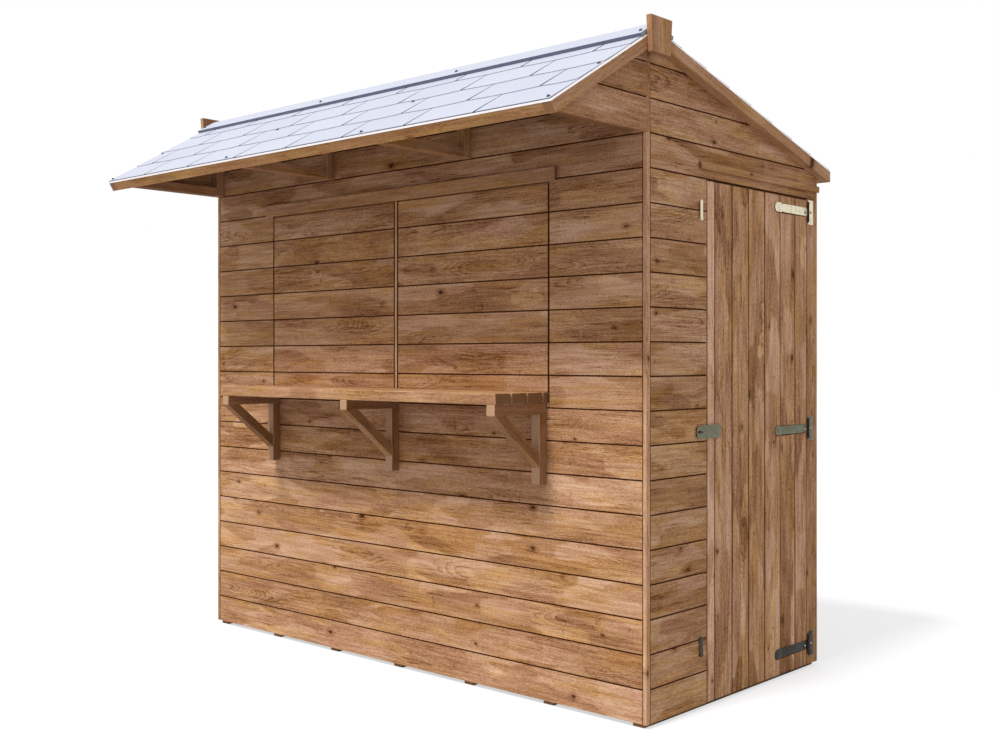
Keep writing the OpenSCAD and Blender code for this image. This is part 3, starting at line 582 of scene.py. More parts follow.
def boards(name, rows, starts, ends, axes, material, body, stands, values=boardValues,
           origin=(0.0, 0.0, 0.0), paleRows=()):
    # Section of a board, going round it: face with rounded arrises, joints, back. Point =
    # origin + along * A + across * V + outward * D; the ends are cut by straight lines
    # along = c + s * across, and the innermost line counts.
    thick, joint, deep = values["thick"], values["joint"] / 2, values["jointDeep"]
    soft = values["arris"]
    count = len(rows)
    low = np.array([row[0] for row in rows])[:, None]
    high = np.array([row[1] for row in rows])[:, None]
    below = np.where([row[2] for row in rows], joint, 0.0003)[:, None]
    above = np.where([row[3] for row in rows], joint, 0.0003)[:, None]
    middle = np.array([row[4] for row in rows])[:, None]
    spread = np.linspace(0.0, 1.0, 6)[None, :]
    faceLow, faceHigh = low + below + soft, high - above - soft
    face = faceLow + (faceHigh - faceLow) * spread
    across = np.concatenate([
        low, low, low + below, low + below, low + below + soft * 0.3, face,
        high - above - soft * 0.3, high - above, high - above, high, high], axis=1)
    flat = np.zeros_like(face)
    one = np.ones_like(low)
    outward = np.concatenate([
        -thick * one, -deep * one, -deep * one, -soft * one, -soft * 0.3 * one, flat,
        -soft * 0.3 * one, -soft * one, -deep * one, -deep * one, -thick * one], axis=1)
    dark = [np.where([row[k] for row in rows], 1.0, 0.2)[:, None] for k in (2, 3)]
    rim = np.concatenate([
        0 * one, dark[0], dark[0], dark[0], 0.3 * dark[0], flat,
        0.3 * dark[1], dark[1], dark[1], dark[1], 0 * one], axis=1)
    stray = random.uniform(-1, 1, (count, 1)) * values["stray"]
    outward = np.where(outward > -thick * 0.9, outward + stray - values["stray"], outward)

    def cut(lines, choose):
        ways = [c + s * across for c, s in lines]
        return choose(np.stack(ways), axis=0)

    start = np.broadcast_to(cut(starts, np.max), across.shape)
    end = np.maximum(np.broadcast_to(cut(ends, np.min), across.shape), start + 0.0002)
    inset = np.minimum(values["endRim"], (end - start) / 3)
    along = np.stack([start, start + inset, end - inset, end], axis=1)
    across, outward, rim = [np.repeat(part[:, None], 4, axis=1) for part in (across, outward, rim)]
    rim = rim.copy()
    # painted shade: each board darkens towards its ends, beside the shaded gaps
    rim[:, [0, 3]] = 1.0
    outward = outward.copy()
    outward[:, [0, 3]] = np.maximum(outward[:, [0, 3]] - soft, -thick)
    a, v, d = [np.array(axis, float) for axis in axes]
    points = (np.array(origin) + along[..., None] * a + across[..., None] * v
              + outward[..., None] * d)
    piece = finishMesh(name, points, barFaces(count, 4, points.shape[2]), material, body,
                       stands)
    shift = random.uniform(0, 60, (count, 1, 1))
    grain = np.stack([along + shift, across - middle[..., None], outward], axis=-1)
    writeAttribute(piece, "grain", "FLOAT_VECTOR", "POINT", grain)
    tone = random.uniform(0, 1, (count, 1, 1, 3))
    tone[:len(paleRows), 0, 0, 0] += paleRows
    writeAttribute(piece, "tone", "FLOAT_VECTOR", "POINT", np.broadcast_to(tone, grain.shape))
    writeAttribute(piece, "rim", "FLOAT", "POINT", rim)
    # painted shade on the board's end faces, which look into the gaps
    writeAttribute(piece, "shade", "FLOAT", "FACE", np.abs(faceNormals(piece) @ a) > 0.6)
    return piece


def joinPieces(name, parts, stands):
    # several runs of boards that stand for one node become one object
    bpy.ops.object.select_all(action="DESELECT")
    for part in parts:
        part.select_set(True)
    bpy.context.view_layer.objects.active = parts[0]
    bpy.ops.object.join()
    parts[0].name = name
    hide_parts(*stands)
    return parts[0]


wallValues = {
    "sideX": 1.200, "sideY": 0.579, "trimFront": 0.014, "trimSide": 0.020,
    "shelfFoot": 1.057, "sideJoint": 1.040, "head": 1.838, "hatchHalf": 0.785,
    "shelfTop": 1.096, "hatchStart": 0.0115, "hatchEnd": 0.780, "hatchHigh": 1.826,
    "battenX": (0.0475, 0.399, 0.7505), "battenWide": 0.045, "battenThick": 0.019,
    "battenStart": 0.012, "battenEnd": 0.018, "canopy": 1.952, "doorFront": -0.219,
    "ridgeY": -0.575, "ridgeZ": 2.280, "frontPitch": math.radians(30.6),
    "rearPitch": math.radians(15.4), "noseY": -1.0888, "footY": -1.0745,
    "trimGap": 0.0022,     # open line between the boards and a corner trim
    "underRidge": 0.004,   # from the top gable board up to the ridge
    "proud": 0.0012, "overTrim": (0.0038, 0.0185),    # gable boards above the canopy's foot
}
xAxis, yAxis, zAxis = (1, 0, 0), (0, 1, 0), (0, 0, 1)
backX, backY = (-1, 0, 0), (0, -1, 0)


def wallBoards(w):
    sideX, sideY, head, foot = w["sideX"], w["sideY"], w["head"], boardValues["foot"]
    trimX = sideX - w["trimFront"] - w["trimGap"]
    trimY = -sideY + w["trimSide"] + w["trimGap"]
    wallTop = w["ridgeZ"] - (w["ridgeY"] + sideY) * math.tan(w["frontPitch"])
    rearSlope = 1 / math.tan(w["rearPitch"])
    frontSlope = 1 / math.tan(w["frontPitch"])
    innerY = sideY - boardValues["thick"]
    rearTop = w["ridgeZ"] - (sideY - w["ridgeY"]) * math.tan(w["rearPitch"])

    def front(name, low, high, leftEnd, rightEnd, stands=()):
        return boards(name, courses(low, high), [(leftEnd, 0)], [(rightEnd, 0)],
                      (xAxis, zAxis, backY), stainedWood, "shed", stands,
                      origin=(0, -sideY, 0))

    def gable(name, side, rows, starts, ends, stands=(), proud=0.0):
        return boards(name, rows, starts, ends, (yAxis, zAxis, (side, 0, 0)), stainedWood, "shed",
                      stands, origin=(side * (sideX + proud), 0, 0))

    def tallGable(name, side, low, node):
        # the boards above the canopy's foot stand a little proud and reach over the trim
        rows = courses(low, w["ridgeZ"] - w["underRidge"])
        over = [row for row in rows if row[0] > w["canopy"] - 1e-6]
        joinPieces(name, [
            gable(name + "Low", side, rows[:-len(over)], [(trimY, 0)], behind + [slope]),
            gable(name + "High", side, over, [(-sideY + w["overTrim"][1], 0)], behind + [slope],
                  (), w["proud"])], [node])

    joinPieces("boardsFrontLower", [
        front("frontLow", foot, w["sideJoint"], -trimX, trimX),
        front("frontStrip", w["sideJoint"], w["shelfFoot"], -w["hatchHalf"], w["hatchHalf"])],
        ["front_wall_lower"])
    joinPieces("boardsFrontSides", [
        front("sideLeft", w["sideJoint"], head, -trimX, -w["hatchHalf"]),
        front("sideRight", w["sideJoint"], head, w["hatchHalf"], trimX)], ["front_wall_sides"])
    front("boardsFrontUpper", head, wallTop, -trimX, trimX, ["front_wall_upper"])

    # hatch panels: boards outside, upright battens on the back
    start, end, high = w["hatchStart"], w["hatchEnd"], w["hatchHigh"]
    panels = [front("hatchLeft", w["shelfTop"], high, -end, -start),
              front("hatchRight", w["shelfTop"], high, start, end)]
    half = w["battenWide"] / 2
    for x in w["battenX"]:
        rows = [(side * x - half, side * x + half, False, False, side * x) for side in (-1, 1)]
        panels.append(boards("panelBatten", rows, [(w["shelfTop"] + w["battenStart"], 0)],
                             [(high - w["battenEnd"], 0)], (zAxis, xAxis, yAxis), stainedWood,
                             "shed", (),
                             values=dict(boardValues, thick=w["battenThick"]),
                             origin=(0, -innerY + w["battenThick"], 0)))
    joinPieces("boardsHatch", panels, ["hatch_panels"])
    boards("boardsBack", courses(foot, rearTop), [(-trimX, 0)], [(trimX, 0)],
           (backX, zAxis, yAxis), stainedWood, "shed", ["back_wall"],
           origin=(0, sideY, 0))
    slope = (w["ridgeY"] + w["ridgeZ"] * rearSlope, -rearSlope)
    behind = [(innerY - w["trimGap"], 0)]
    tallGable("boardsLeftGable", -1, foot, "left_gable")
    gable("boardsGableFront", 1, courses(foot, head), [(trimY, 0)],
          [(w["doorFront"], 0)], ["right_gable_front"])
    tallGable("boardsGableUpper", 1, head, "right_gable_upper")
    noseZ = w["ridgeZ"] - (w["ridgeY"] - w["noseY"]) * math.tan(w["frontPitch"])
    footSlope = (w["noseY"] - w["footY"]) / (noseZ - w["canopy"])
    infill = [(w["footY"] - w["canopy"] * footSlope, footSlope),
              (w["ridgeY"] - w["ridgeZ"] * frontSlope, frontSlope)]
    rows = courses(w["canopy"], wallTop)
    rows[0] = rows[0][:2] + (False,) + rows[0][3:]
    joinPieces("boardsInfills", [
        gable("infillLeft", -1, rows, infill, [(-sideY + w["overTrim"][0], 0)], (), w["proud"]),
        gable("infillRight", 1, rows, infill, [(-sideY + w["overTrim"][0], 0)], (), w["proud"])],
        ["canopy_infills"])


wallBoards(wallValues)
print("wall boards laid")

floorValues = dict(boardValues, cover=0.096, joint=0.0016, jointDeep=0.002, arris=0.0008,
                   stray=0.0002)
doorValues = {
    "foot": 0.014, "top": 1.833, "front": -0.214, "back": 0.494,
    "first": 0.047,        # width of the first board, which is cut narrow
    "firstPale": 1.6,      # and stained paler than the rest
}


def floorAndDoor(door):
    low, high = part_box("floor_boards")
    rows = courses(low.y, high.y, low.y, floorValues["cover"])
    boards("boardsFloor", rows, [(low.x, 0)], [(high.x, 0)], (xAxis, yAxis, zAxis), timberWood,
           "shed", ["floor_boards"], values=floorValues, origin=(0, 0, high.z))
    edges = [door["front"], door["front"] + door["first"]]
    while edges[-1] + boardValues["cover"] < door["back"]:
        edges.append(edges[-1] + boardValues["cover"])
    edges.append(door["back"])
    last = len(edges) - 2
    rows = [(edges[k], edges[k + 1], k > 0, k < last, (edges[k] + edges[k + 1]) / 2)
            for k in range(last + 1)]
    boards("boardsDoor", rows, [(door["foot"], 0)], [(door["top"], 0)], (zAxis, yAxis, xAxis),
           doorWood, "door", ["door_leaf"],
           origin=(wallValues["sideX"], 0, 0), paleRows=[door["firstPale"]])


floorAndDoor(doorValues)
print("floor and door boards laid")


def islandsOf(shaped):
    # faces that hang together, found by flooding from face to face; a set has no fixed order,
    # so faces and edges are sorted by their index wherever one of several is chosen
    shaped.faces.index_update()
    shaped.edges.index_update()
    waiting, islands = set(shaped.faces), []
    while waiting:
        seed = waiting.pop()
        found, edge = {seed}, [seed]
        while edge:
            near = {other for side in edge.pop().edges for other in side.link_faces} & waiting
            waiting -= near
            found |= near
            edge.extend(near)
        islands.append(sorted(found, key=lambda face: face.index))
    return islands


def mainAxes(faces):
    # the longest edge gives the grain's direction, the longest one square to it the width
    edges = sorted({side for face in faces for side in face.edges}, key=lambda side: side.index)
    lines = np.array([side.verts[1].co - side.verts[0].co for side in edges])
    lengths = np.linalg.norm(lines, axis=1)
    along = lines[lengths.argmax()] / lengths.max()
    square = np.abs(lines @ along) < 0.08 * lengths
    if square.any():
        across = lines[np.where(square, lengths, 0).argmax()]
        across = across - along * (across @ along)
    else:
        across = np.cross(along, (0.3, 0.5, 0.8))
    across /= np.linalg.norm(across)
    return along, across, np.cross(along, across)


def shapedCopy(name, node, material, arris, smoothAngle=None, upright=False):
    # a copy of a node, merged, with every sharp edge rounded by a small arris
    source = bmesh.new()
    source.from_mesh(nodes[node].data)
    bmesh.ops.remove_doubles(source, verts=source.verts, dist=1e-5)
    bmesh.ops.dissolve_limit(source, angle_limit=math.radians(0.8), verts=source.verts,
                             edges=source.edges)
    points, faces, grain, tone, paleEdges, sawn = [], [], [], [], [], []
    base = 0
    for island in sorted(islandsOf(source), key=lambda group: tuple(
            np.round(np.mean([face.calc_center_median() for face in group], axis=0), 4))):
        along, across, depth = mainAxes(island)
        if upright:
            along, across, depth = [np.array(axis, float) for axis in (zAxis, yAxis, xAxis)]
        part = bmesh.new()
        corners = {corner: part.verts.new(corner.co)
                   for corner in sorted({v for face in island for v in face.verts},
                                        key=lambda v: tuple(np.round(v.co, 6)))}
        for face in sorted(island, key=lambda f: tuple(np.round(f.calc_center_median(), 6))):
            part.faces.new([corners[v] for v in face.verts])
        bmesh.ops.recalc_face_normals(part, faces=part.faces)
        sharp = [side for side in part.edges
                 if len(side.link_faces) == 2 and side.calc_face_angle() > math.radians(30)]
        rounded = bmesh.ops.bevel(part, geom=sharp, offset=arris, segments=2, profile=0.5,
                                  affect="EDGES", clamp_overlap=True)["faces"]
        part.verts.index_update()
        place = np.array([v.co for v in part.verts])
        centre = (place.min(0) + place.max(0)) / 2
        local = place - centre
        shift = random.uniform(0, 60)
        points.append(place)
        grain.append(np.stack([local @ along + shift, local @ across, local @ depth], axis=-1))
        tone.append(np.tile(random.uniform(0, 1, 3), (len(place), 1)))
        bevelled = set(rounded)
        for face in part.faces:
            faces.append([v.index + base for v in face.verts])
            paleEdges.append(1.0 if face in bevelled else 0.0)
            sawn.append(1.0 if abs(np.dot(face.normal, along)) > 0.75 else 0.0)
        base += len(place)
        part.free()
    source.free()
    body = nodes[node]["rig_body"]
    piece = finishMesh(name, np.concatenate(points), faces, material, body, [node],
                       smoothAngle)
    writeAttribute(piece, "grain", "FLOAT_VECTOR", "POINT", np.concatenate(grain))
    writeAttribute(piece, "tone", "FLOAT_VECTOR", "POINT", np.concatenate(tone))
    writeAttribute(piece, "arris", "FLOAT", "FACE", paleEdges)
    writeAttribute(piece, "endGrain", "FLOAT", "FACE", sawn)
    return piece


timberPieces = {
    # node: (piece, finish, slot, arris)
    "floor_bearers": ("bearers", bearerWood, "bearer_timber", 0.0015),
    "hatch_cover_strip": ("hatchStrip", trimWood, "stained_boards", 0.0015),
    "drip_battens": ("dripBattens", battenWood, "stained_boards", 0.002),
    "corner_trims": ("cornerTrims", trimWood, "stained_boards", 0.0015),
    "right_gable_post": ("gablePostBoard", stainedWood, "stained_boards", 0.0015),
    "long_wall_studs": ("longWallStuds", timberWood, "frame_timber", 0.002),
    "gable_studs": ("gableStuds", timberWood, "frame_timber", 0.002),
    "long_wall_rails": ("longWallRails", timberWood, "frame_timber", 0.002),
    "gable_rails": ("gableRails", timberWood, "frame_timber", 0.002),
    "canopy_posts": ("canopyPosts", timberWood, "frame_timber", 0.002),
    "canopy_ties": ("canopyTies", timberWood, "frame_timber", 0.002),
    "canopy_rafters": ("canopyRafters", timberWood, "frame_timber", 0.002),
    "rear_rafters": ("rearRafters", timberWood, "frame_timber", 0.002),
    "fascias": ("fascias", fasciaWood, "stained_boards", 0.002),
    "front_barge_boards": ("frontBarges", barWood, "stained_boards", 0.002),
    "rear_barge_boards": ("rearBarges", barWood, "stained_boards", 0.002),
    "finials": ("finials", barWood, "stained_boards", 0.002),
    "shelf_slats": ("shelfSlats", slatWood, "frame_timber", 0.003),
    "bracket_legs": ("bracketLegs", bracketWood, "frame_timber", 0.0025),
    "bracket_arms": ("bracketArms", bracketWood, "frame_timber", 0.0025),
    "bracket_braces": ("bracketBraces", bracketWood, "frame_timber", 0.0025),
    "door_ledges": ("doorLedges", timberWood, "frame_timber", 0.002),
    "door_braces": ("doorBraces", timberWood, "frame_timber", 0.002),
}
platePieces = {
    "hinge_plates": ("hingePlates", 0.0005), "hasp_staple": ("haspStaple", 0.0004),
    "turn_button_screws": ("buttonScrews", 0.0005), "hinge_straps": ("hingeStraps", 0.0005),
    "hasp_leaf": ("haspLeaf", 0.0003), "hasp_strap": ("haspStrap", 0.0009),
    "turn_button_upper": ("buttonUpper", 0.0006), "turn_button_lower": ("buttonLower", 0.0006),
}
shadeValues = {
    # how far a face is darkened towards the dark of the joints, from 0 to 1: painted shade on
    # bracket sides, finials, hatch strip sides, canopy undersides and the staple; the post board
    # is darkened all over
    "bracketSides": 0.3, "finialInner": 0.55, "hatchStripSides": 1.0, "postBoard": 0.12,
    "canopyEnds": 0.6, "canopyMiddle": 0.2, "staple": 0.8,
    "endsFrom": 1.1,       # half length from which a canopy timber is one of the end ones
    "legFronts": 1.2,      # the bracket legs' fronts are as pale as sawn ends, and a bit more
}


def shadeFaces(piece, amount):
    count = len(piece.data.polygons)
    writeAttribute(piece, "shade", "FLOAT", "FACE", np.broadcast_to(amount, (count,)))


def shadeTimber(timber, node, v):
    facing, middles = faceNormals(timber), faceMiddles(timber)
    sides = np.abs(facing[:, 0]) > 0.7
    if node.startswith("bracket"):
        # painted shade on the brackets' side faces
        shadeFaces(timber, sides * v["bracketSides"])
    if node == "bracket_legs":
        pale = np.where(facing[:, 1] < -0.7, v["legFronts"], np.abs(facing[:, 2]) > 0.7)
        timber.data.attributes["endGrain"].data.foreach_set("value", pale.astype(np.float32))
    if node == "finials":           # painted shade on the faces that look towards the roof
        shadeFaces(timber, (facing[:, 0] * np.sign(middles[:, 0]) < -0.7) * v["finialInner"])
    if node == "hatch_cover_strip":
        # painted shade on the strip's sides, which look into the gaps beside it
        shadeFaces(timber, sides * v["hatchStripSides"])
    if node == "right_gable_post":
        shadeFaces(timber, v["postBoard"])
    if node in ("canopy_ties", "canopy_rafters"):   # painted shade on the undersides, darkest at the two ends
        amount = np.where(np.abs(middles[:, 0]) > v["endsFrom"], v["canopyEnds"],
                          v["canopyMiddle"])
        shadeFaces(timber, (facing[:, 2] < -0.6) * amount)


for node, (piece, finish, slotName, arris) in timberPieces.items():
    timber = shapedCopy(piece, node, finish, arris, upright=node == "finials")
    shadeTimber(timber, node, shadeValues)


def restainTrims(height):
    # corner trims are stained as the boards are: above the canopy's foot, at the back and left
    trims = bpy.data.objects["cornerTrims"]
    shaped = bmesh.new()
    shaped.from_mesh(trims.data)
    bmesh.ops.bisect_plane(shaped, geom=[*shaped.verts, *shaped.edges, *shaped.faces],
                           plane_co=(0, 0, height), plane_no=(0, 0, 1))
    shaped.to_mesh(trims.data)
    shaped.free()
    middles = faceMiddles(trims)
    trims.data.materials.append(stainedWood)
    darker = (middles[:, 2] > height) | (middles[:, 1] > 0) | (middles[:, 0] < 0)
    trims.data.polygons.foreach_set("material_index", darker.astype(np.int32))


restainTrims(wallValues["canopy"])
hingeValues = {
    "heights": (0.095, 0.9405, 1.786),
    "knuckleLine": 0.493, "knuckleHalf": 0.0062,   # the knuckles lie in the joint beside the door; their faces get painted shade
    "haspEnd": 0.018, "haspHighlight": 2.4,             # the hasp's round end has much paler edges: a painted highlight
}


def shadePlate(plate, node, v):
    middles = faceMiddles(plate)
    if node.startswith("hinge"):
        # painted shade on the knuckles, in the joint beside the door
        shadeFaces(plate, np.abs(middles[:, 1] - v["knuckleLine"]) < v["knuckleHalf"])
    if node == "hasp_staple":
        # painted shade: the staple sits in the hasp's slot
        shadeFaces(plate, shadeValues["staple"])
    if node == "hasp_strap":
        # painted highlight: the round end's arrises are made much paler
        roundEnd = middles[:, 1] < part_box(node)[0].y + v["haspEnd"]
        paleEdges = np.zeros(len(middles), np.float32)
        edges = plate.data.attributes["arris"].data
        edges.foreach_get("value", paleEdges)
        edges.foreach_set("value", (paleEdges * np.where(roundEnd, v["haspHighlight"], 1.0)).astype(
            np.float32))


for node, (piece, arris) in platePieces.items():
    shadePlate(shapedCopy(piece, node, zinc, arris, smoothAngle=35), node,
               hingeValues)


def strapShadows(v):
    # painted shadow: a dark flat bar with a round end lies on the door round each strap, set a
    # little lower; closed at both faces
    start = hingeValues["knuckleLine"] - v["fromKnuckle"]
    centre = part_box("hinge_straps")[0].y + v["roundEnd"]
    arc = np.linspace(math.pi / 2, 1.5 * math.pi, 13)
    y = np.concatenate([[start], centre + v["radius"] * np.cos(arc), [start]])
    z = np.concatenate([[v["half"]], v["radius"] * np.sin(arc), [-v["half"]]]) - v["drop"]
    heights = np.array(hingeValues["heights"])[:, None, None]
    face = wallValues["sideX"] + np.array(v["between"])[None, :, None]
    points = np.stack(np.broadcast_arrays(face, y[None, None], heights + z), axis=-1)
    shadowPlates = finishMesh("strapShadows", points, barFaces(len(heights), 2, len(y)),
                        stainedWood, "door")
    writeAttribute(shadowPlates, "rim", "FLOAT", "POINT", np.ones(len(shadowPlates.data.vertices)))


strapShadows({"roundEnd": 0.018, "radius": 0.0200, "half": 0.0176, "drop": 0.0012,
             "fromKnuckle": 0.008, "between": (-0.0012, 0.0004)})
print("timbers and plates rounded")

roofValues = {
    "half": 1.238, "start": 0.006, "course": 0.154, "tileWidth": 0.313,
    "jointHigh": 0.0034, "jointLow": 0.0100,      # a joint widens down to the butts
    "frontFinish": 0.6209, "rearFinish": 1.2404, "sheetTop": 0.0064, "splay": 0.0026,
    "butt": 0.0100, "bow": 0.008, "setBack": 0.0045, "firstJoint": 1.0845, "lift": 0.00005,
    "sideSetBack": 0.0041,                        # from the roof's side to the outer tiles
    "lap": 0.012,                                 # how far a tile runs under the next course
    "stray": 0.0008,                              # how far a butt may stray from its course
    "sideDark": 1.3, "outerDark": 0.5, "buttDark": 0.45,    # colour of the tiles' cut edges
}


def onSlope(side, s, n, x):
    # side -1 is the front slope and 1 the rear one; s runs down the slope, n square to it
    pitch = wallValues["frontPitch"] if side < 0 else wallValues["rearPitch"]
    y = wallValues["ridgeY"] + side * (s * math.cos(pitch) + n * math.sin(pitch))
    z = wallValues["ridgeZ"] - s * math.sin(pitch) + n * math.cos(pitch)
    return np.stack(np.broadcast_arrays(x, y, z), axis=-1)


def slopeNormal(side):
    pitch = wallValues["frontPitch"] if side < 0 else wallValues["rearPitch"]
    return np.array([0.0, side * math.sin(pitch), math.cos(pitch)])


def roofSlope(side, label, node, r):
    finish = r["frontFinish"] if side < 0 else r["rearFinish"]
    # sheet under the tiles: one bar across the roof, its edges splayed back upwards
    ring = np.array([(r["start"], r["lift"], 0.0), (finish, r["lift"], 0.0),
                     (finish - r["splay"], r["sheetTop"], r["splay"]),
                     (r["start"], r["sheetTop"], r["splay"])])
    ends = np.array([-1.0, 1.0])[None, :, None] * (r["half"] - ring[None, None, :, 2])
    points = onSlope(side, ring[None, None, :, 0], ring[None, None, :, 1], ends)
    sheet = finishMesh("sheet" + label, points, barFaces(1, 2, 4), roofSheet, "shed",
                       [node])
    facing = faceNormals(sheet) @ slopeNormal(side)
    writeAttribute(sheet, "edge", "FLOAT", "FACE", np.abs(facing) < 0.7)
    writeAttribute(sheet, "under", "FLOAT", "FACE", facing < -0.7)

    # tiles in half stagger; a butt bows down the slope by bow * (1 - (2u - 1)^2)
    spans = []
    for k in range(math.ceil((finish - r["start"]) / r["course"])):
        first = r["firstJoint"] - (r["tileWidth"] / 2 if k % 2 == 0 else 0)
        joints = np.arange(first, -r["half"] + 0.02, -r["tileWidth"])
        joints = np.concatenate([[r["half"]], joints, [-r["half"]]])
        spans += [(low, high, k) for high, low in zip(joints[:-1], joints[1:])]
    spans = np.array(spans)
    low, high, row = [column[:, None, None] for column in spans.T]
    gap = np.array([r["jointHigh"], r["jointLow"], r["jointLow"], r["jointLow"],
                    r["jointHigh"]]) / 2
    low = np.where(low < -r["half"] + 1e-4, low + r["sideSetBack"], low + gap)
    high = np.where(high > r["half"] - 1e-4, high - r["sideSetBack"], high - gap)
    u = np.linspace(0, 1, 9)[None, :, None]
    eave = row == 0
    stray = random.uniform(-r["stray"], r["stray"], row.shape)
    butt = finish - row * r["course"] + np.where(
        eave, -r["setBack"], r["bow"] * (1 - (2 * u - 1) ** 2) - r["bow"] + stray)
    head = np.maximum(finish - (row + 1) * r["course"] - r["lap"], r["start"] + 0.001)
    head = head + np.zeros_like(butt)
    s = np.concatenate([head, butt - 0.001, butt, butt, head], axis=2)
    n = np.array([r["sheetTop"] + 0.0006, r["butt"], r["butt"] - 0.0007,
                  r["sheetTop"] - 0.0001, r["sheetTop"] - 0.0001])
    points = onSlope(side, s, n, low + (high - low) * u)
    tiles = finishMesh("tiles" + label, points, barFaces(len(spans), 9, 5), roofTiles, "shed")
    facing = faceNormals(tiles) @ slopeNormal(side)
    across = np.abs(faceNormals(tiles)[:, 0]) > 0.7
    outer = np.abs(faceMiddles(tiles)[:, 0]) > r["half"] - 0.01
    writeAttribute(tiles, "edge", "FLOAT", "FACE", np.where(
        across, np.where(outer, r["outerDark"], r["sideDark"]),
        np.where(facing < 0.8, r["buttDark"], 0.0)))
    tone = np.broadcast_to(random.uniform(0, 1, (len(spans), 1, 1, 3)), points.shape)
    writeAttribute(tiles, "tone", "FLOAT_VECTOR", "POINT", tone)


roofSlope(-1, "Front", "front_roof_sheet", roofValues)
roofSlope(1, "Rear", "rear_roof_sheet", roofValues)
capping = shapedCopy("ridgeCapping", "ridge_capping", roofTiles, 0.0008)
facing = faceNormals(capping)
writeAttribute(capping, "edge", "FLOAT", "FACE",
               np.where(facing[:, 2] > 0.6, 0.0, np.where(np.abs(facing[:, 0]) > 0.7, 0.5, 0.9)))


def cappingEnds(values):
    # plates that close the two ends of the capping: its outline carried a little way along X
    pitches = [math.tan(wallValues["frontPitch"]), math.tan(wallValues["rearPitch"])]
    cosines = [math.cos(wallValues["frontPitch"]), math.cos(wallValues["rearPitch"])]

    def crest(n):
        # where the two slopes meet when both are raised by n
        back = n * (1 / cosines[0] - 1 / cosines[1]) / (pitches[0] + pitches[1])
        rise = n / cosines[0] - back * pitches[0]
        return (wallValues["ridgeY"] - back, wallValues["ridgeZ"] + rise)

    low, high = values["seat"], values["top"]
    front = [onSlope(-1, values["front"], n, 0.0)[1:] for n in (low, high)]
    rear = [onSlope(1, values["rear"], n, 0.0)[1:] for n in (high, low)]
    ring = np.array([*front, crest(high), *rear, crest(low)])
    ends = np.array([[-values["half"], -values["half"] + values["thick"]],
                     [values["half"] - values["thick"], values["half"]]])
    points = np.stack(np.broadcast_arrays(ends[:, :, None], ring[None, None, :, 0],
                                          ring[None, None, :, 1]), axis=-1)
    plates = finishMesh("cappingEnds", points, barFaces(2, 2, 6), roofTiles, "shed")
    writeAttribute(plates, "edge", "FLOAT", "FACE", np.full(len(plates.data.polygons), 0.4))


cappingEnds({"half": 1.2375, "thick": 0.001, "front": 0.0895, "rear": 0.0935, "seat": 0.0102,
             "top": 0.0206})
print("roof covered")

screwValues = {
    "roof": {"radius": 0.0052, "height": 0.0042, "washer": 0.0068},
    "plate": {"radius": 0.0050, "height": 0.0018, "washer": 0.0},
    "frontRows": (0.060, 0.322, 0.602), "rearRows": (0.060, 0.420, 0.820, 1.222),
    "columns": (-1.219, -0.390, 0.390, 1.219),
    "onCapping": (0.090, 0.021),     # up to this far down the slope a screw stands so high
    "tileHead": 0.0070,              # height of a tile at its upper end
    # across the door and up from the strap's middle; the one near the knuckle has a bright painted
    # highlight, the outer ones are finished as the plate
    "strapSpots": [(0.477, -0.003)], "strapDull": [(0.392, 0.003), (0.274, 0.0)],
    "plateInset": 0.019, "plateReach": 0.036, "rim": 0.8,
}


def screwHeads(name, centres, normal, shape, material, body):
    # a washer and a dome turned round the normal: height = h * root(1 - (r/R)^2)
    turn = np.linspace(0, 2 * math.pi, 13)[:-1]
    arc = np.linspace(0, math.pi / 2, 4)
    radius, height = shape["radius"], shape["height"]
    profile = [(radius * math.cos(t), height * math.sin(t)) for t in arc[:-1]] + [(0.0002, height)]
    if shape["washer"]:
        profile = ([(shape["washer"], -0.0002), (shape["washer"], 0.0012),
                    (shape["washer"] * 0.8, 0.0016)]
                   + [(r, h + 0.0016) for r, h in profile])
    else:
        profile = [(radius, -0.0002)] + profile
    profile = np.array(profile)
    normal = np.array(normal, float) / np.linalg.norm(normal)
    first = np.cross(normal, (1, 0, 0) if abs(normal[0]) < 0.7 else (0, 1, 0))
    first /= np.linalg.norm(first)
    second = np.cross(normal, first)
    ring = np.cos(turn)[:, None] * first + np.sin(turn)[:, None] * second
    centres = np.asarray(centres, float)
    points = (centres[:, None, None] + profile[None, :, None, 0, None] * ring[None, None]
              + profile[None, :, None, 1, None] * normal)
    return finishMesh(name, points, barFaces(len(centres), len(profile), len(turn)), material,
                      body, smoothAngle=50)


def roofScrews(v):
    top = roofValues["butt"]
    under, high = v["onCapping"]
    for side, rows, label in ((-1, v["frontRows"], "Front"), (1, v["rearRows"], "Rear")):
        places = []
        for s in rows:
            finish = roofValues["frontFinish"] if side < 0 else roofValues["rearFinish"]
            part = ((finish - s) % roofValues["course"]) / roofValues["course"]
            n = high if s < under else top - part * (top - v["tileHead"])
            places += [onSlope(side, s, n, x) for x in v["columns"]]
        screwHeads("roofScrews" + label, np.array(places), slopeNormal(side), v["roof"],
                   darkScrews, "shed")


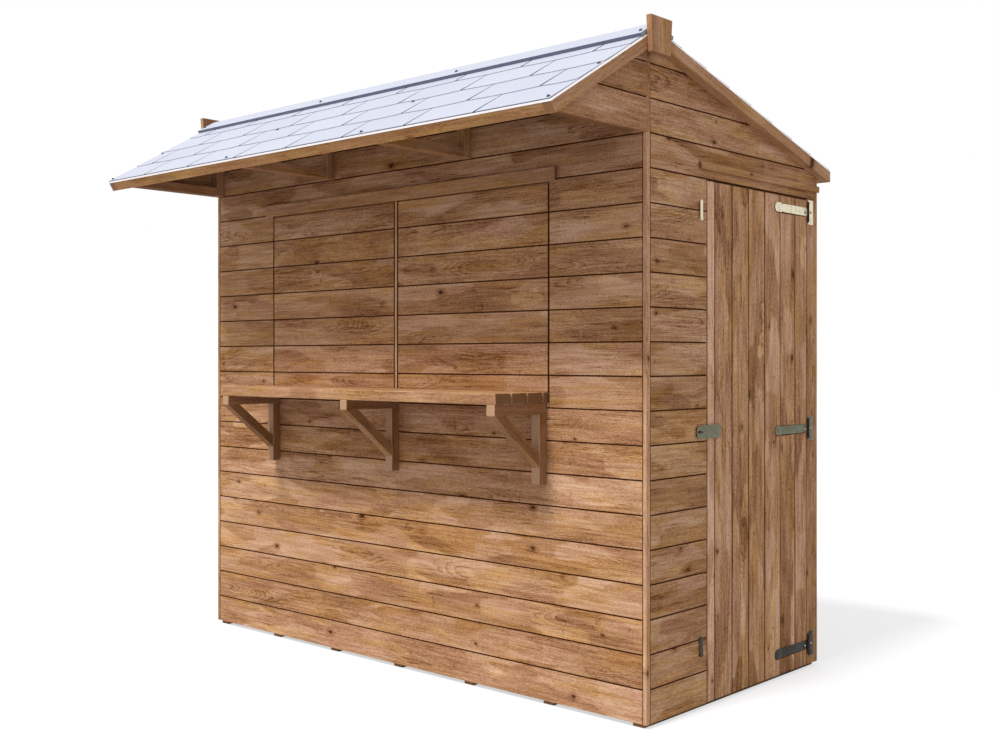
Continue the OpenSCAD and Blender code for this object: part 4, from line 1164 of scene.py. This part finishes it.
def plateScrews(v):
    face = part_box("hinge_straps")[0].x + 0.002
    low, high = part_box("hinge_plates")
    plateY, reach = high.y - v["plateInset"], v["plateReach"]
    runs = (("strapScrews", "door", brightScrews, v["strapSpots"]),
            ("strapScrewsDull", "door", zinc, v["strapDull"]),
            ("plateScrews", "shed", brightScrews, [(plateY, 0.0)]),
            ("plateScrewsDull", "shed", zinc, [(plateY, reach), (plateY, -reach)]))
    for name, body, finish, spots in runs:
        places = [(face, y, height + z) for height in hingeValues["heights"] for y, z in spots]
        heads = screwHeads(name, places, xAxis, v["plate"], finish, body)
        if finish == zinc:
            continue
        shape = np.zeros(len(heads.data.vertices) * 3, np.float32)
        heads.data.vertices.foreach_get("co", shape)
        shape = shape.reshape(len(places), -1, 3) - np.array(places)[:, None]
        away = np.linalg.norm(shape[..., 1:], axis=2) / v["plate"]["radius"]
        # painted shadow: a dark ring round the rim of each bright head
        writeAttribute(heads, "shade", "FLOAT", "POINT", away > v["rim"])


roofScrews(screwValues)
plateScrews(screwValues)
print("screws set")

lightValues = {
    "towards": (-0.06, -0.65, 1.0), "sun": 2.9, "sunAngle": 11.0,
    "ambient": 0.66, "floorColor": rgb(168, 168, 170), "floorGlow": 0.62, "floorHalf": 40.0,
}


def makeLight(v):
    sun = bpy.data.lights.new("sun", "SUN")
    sun.energy = v["sun"]
    sun.angle = math.radians(v["sunAngle"])
    lamp = bpy.data.objects.new("sun", sun)
    lamp.rotation_euler = Vector(v["towards"]).to_track_quat("Z", "Y").to_euler()
    scene.collection.objects.link(lamp)

    world = bpy.data.worlds.new("studio")
    scene.world = world
    world.use_nodes = True
    tree = world.node_tree
    tree.nodes.clear()
    seen = seesBackground(tree)
    soft = addNode(tree, "ShaderNodeBackground", {0: (1, 1, 1, 1), 1: v["ambient"]})
    white = addNode(tree, "ShaderNodeBackground", {0: (1, 1, 1, 1), 1: 1.0})
    both = addNode(tree, "ShaderNodeMixShader", {0: seen, 1: soft.outputs[0], 2: white.outputs[0]})
    addNode(tree, "ShaderNodeOutputWorld", {0: both.outputs[0]})


def makeFloor(v):
    mesh = bpy.data.meshes.new("floor")
    half = v["floorHalf"]
    mesh.from_pydata([(-half, -half, 0), (half, -half, 0), (half, half, 0), (-half, half, 0)], [],
                     [(0, 1, 2, 3)])
    floor = bpy.data.objects.new("floor", mesh)
    scene.collection.objects.link(floor)
    material, tree, shader = newMaterial("paleFloor")
    shader.inputs["Base Color"].default_value = v["floorColor"]
    shader.inputs["Roughness"].default_value = 0.9
    shader.inputs["Specular IOR Level"].default_value = 0.0
    seen = seesBackground(tree)
    shader.inputs["Emission Color"].default_value = (1, 1, 1, 1)
    tree.links.new(calc(tree, "MULTIPLY", seen, v["floorGlow"]),
                   shader.inputs["Emission Strength"])
    mesh.materials.append(material)


makeLight(lightValues)
makeFloor(lightValues)
print("lights set")
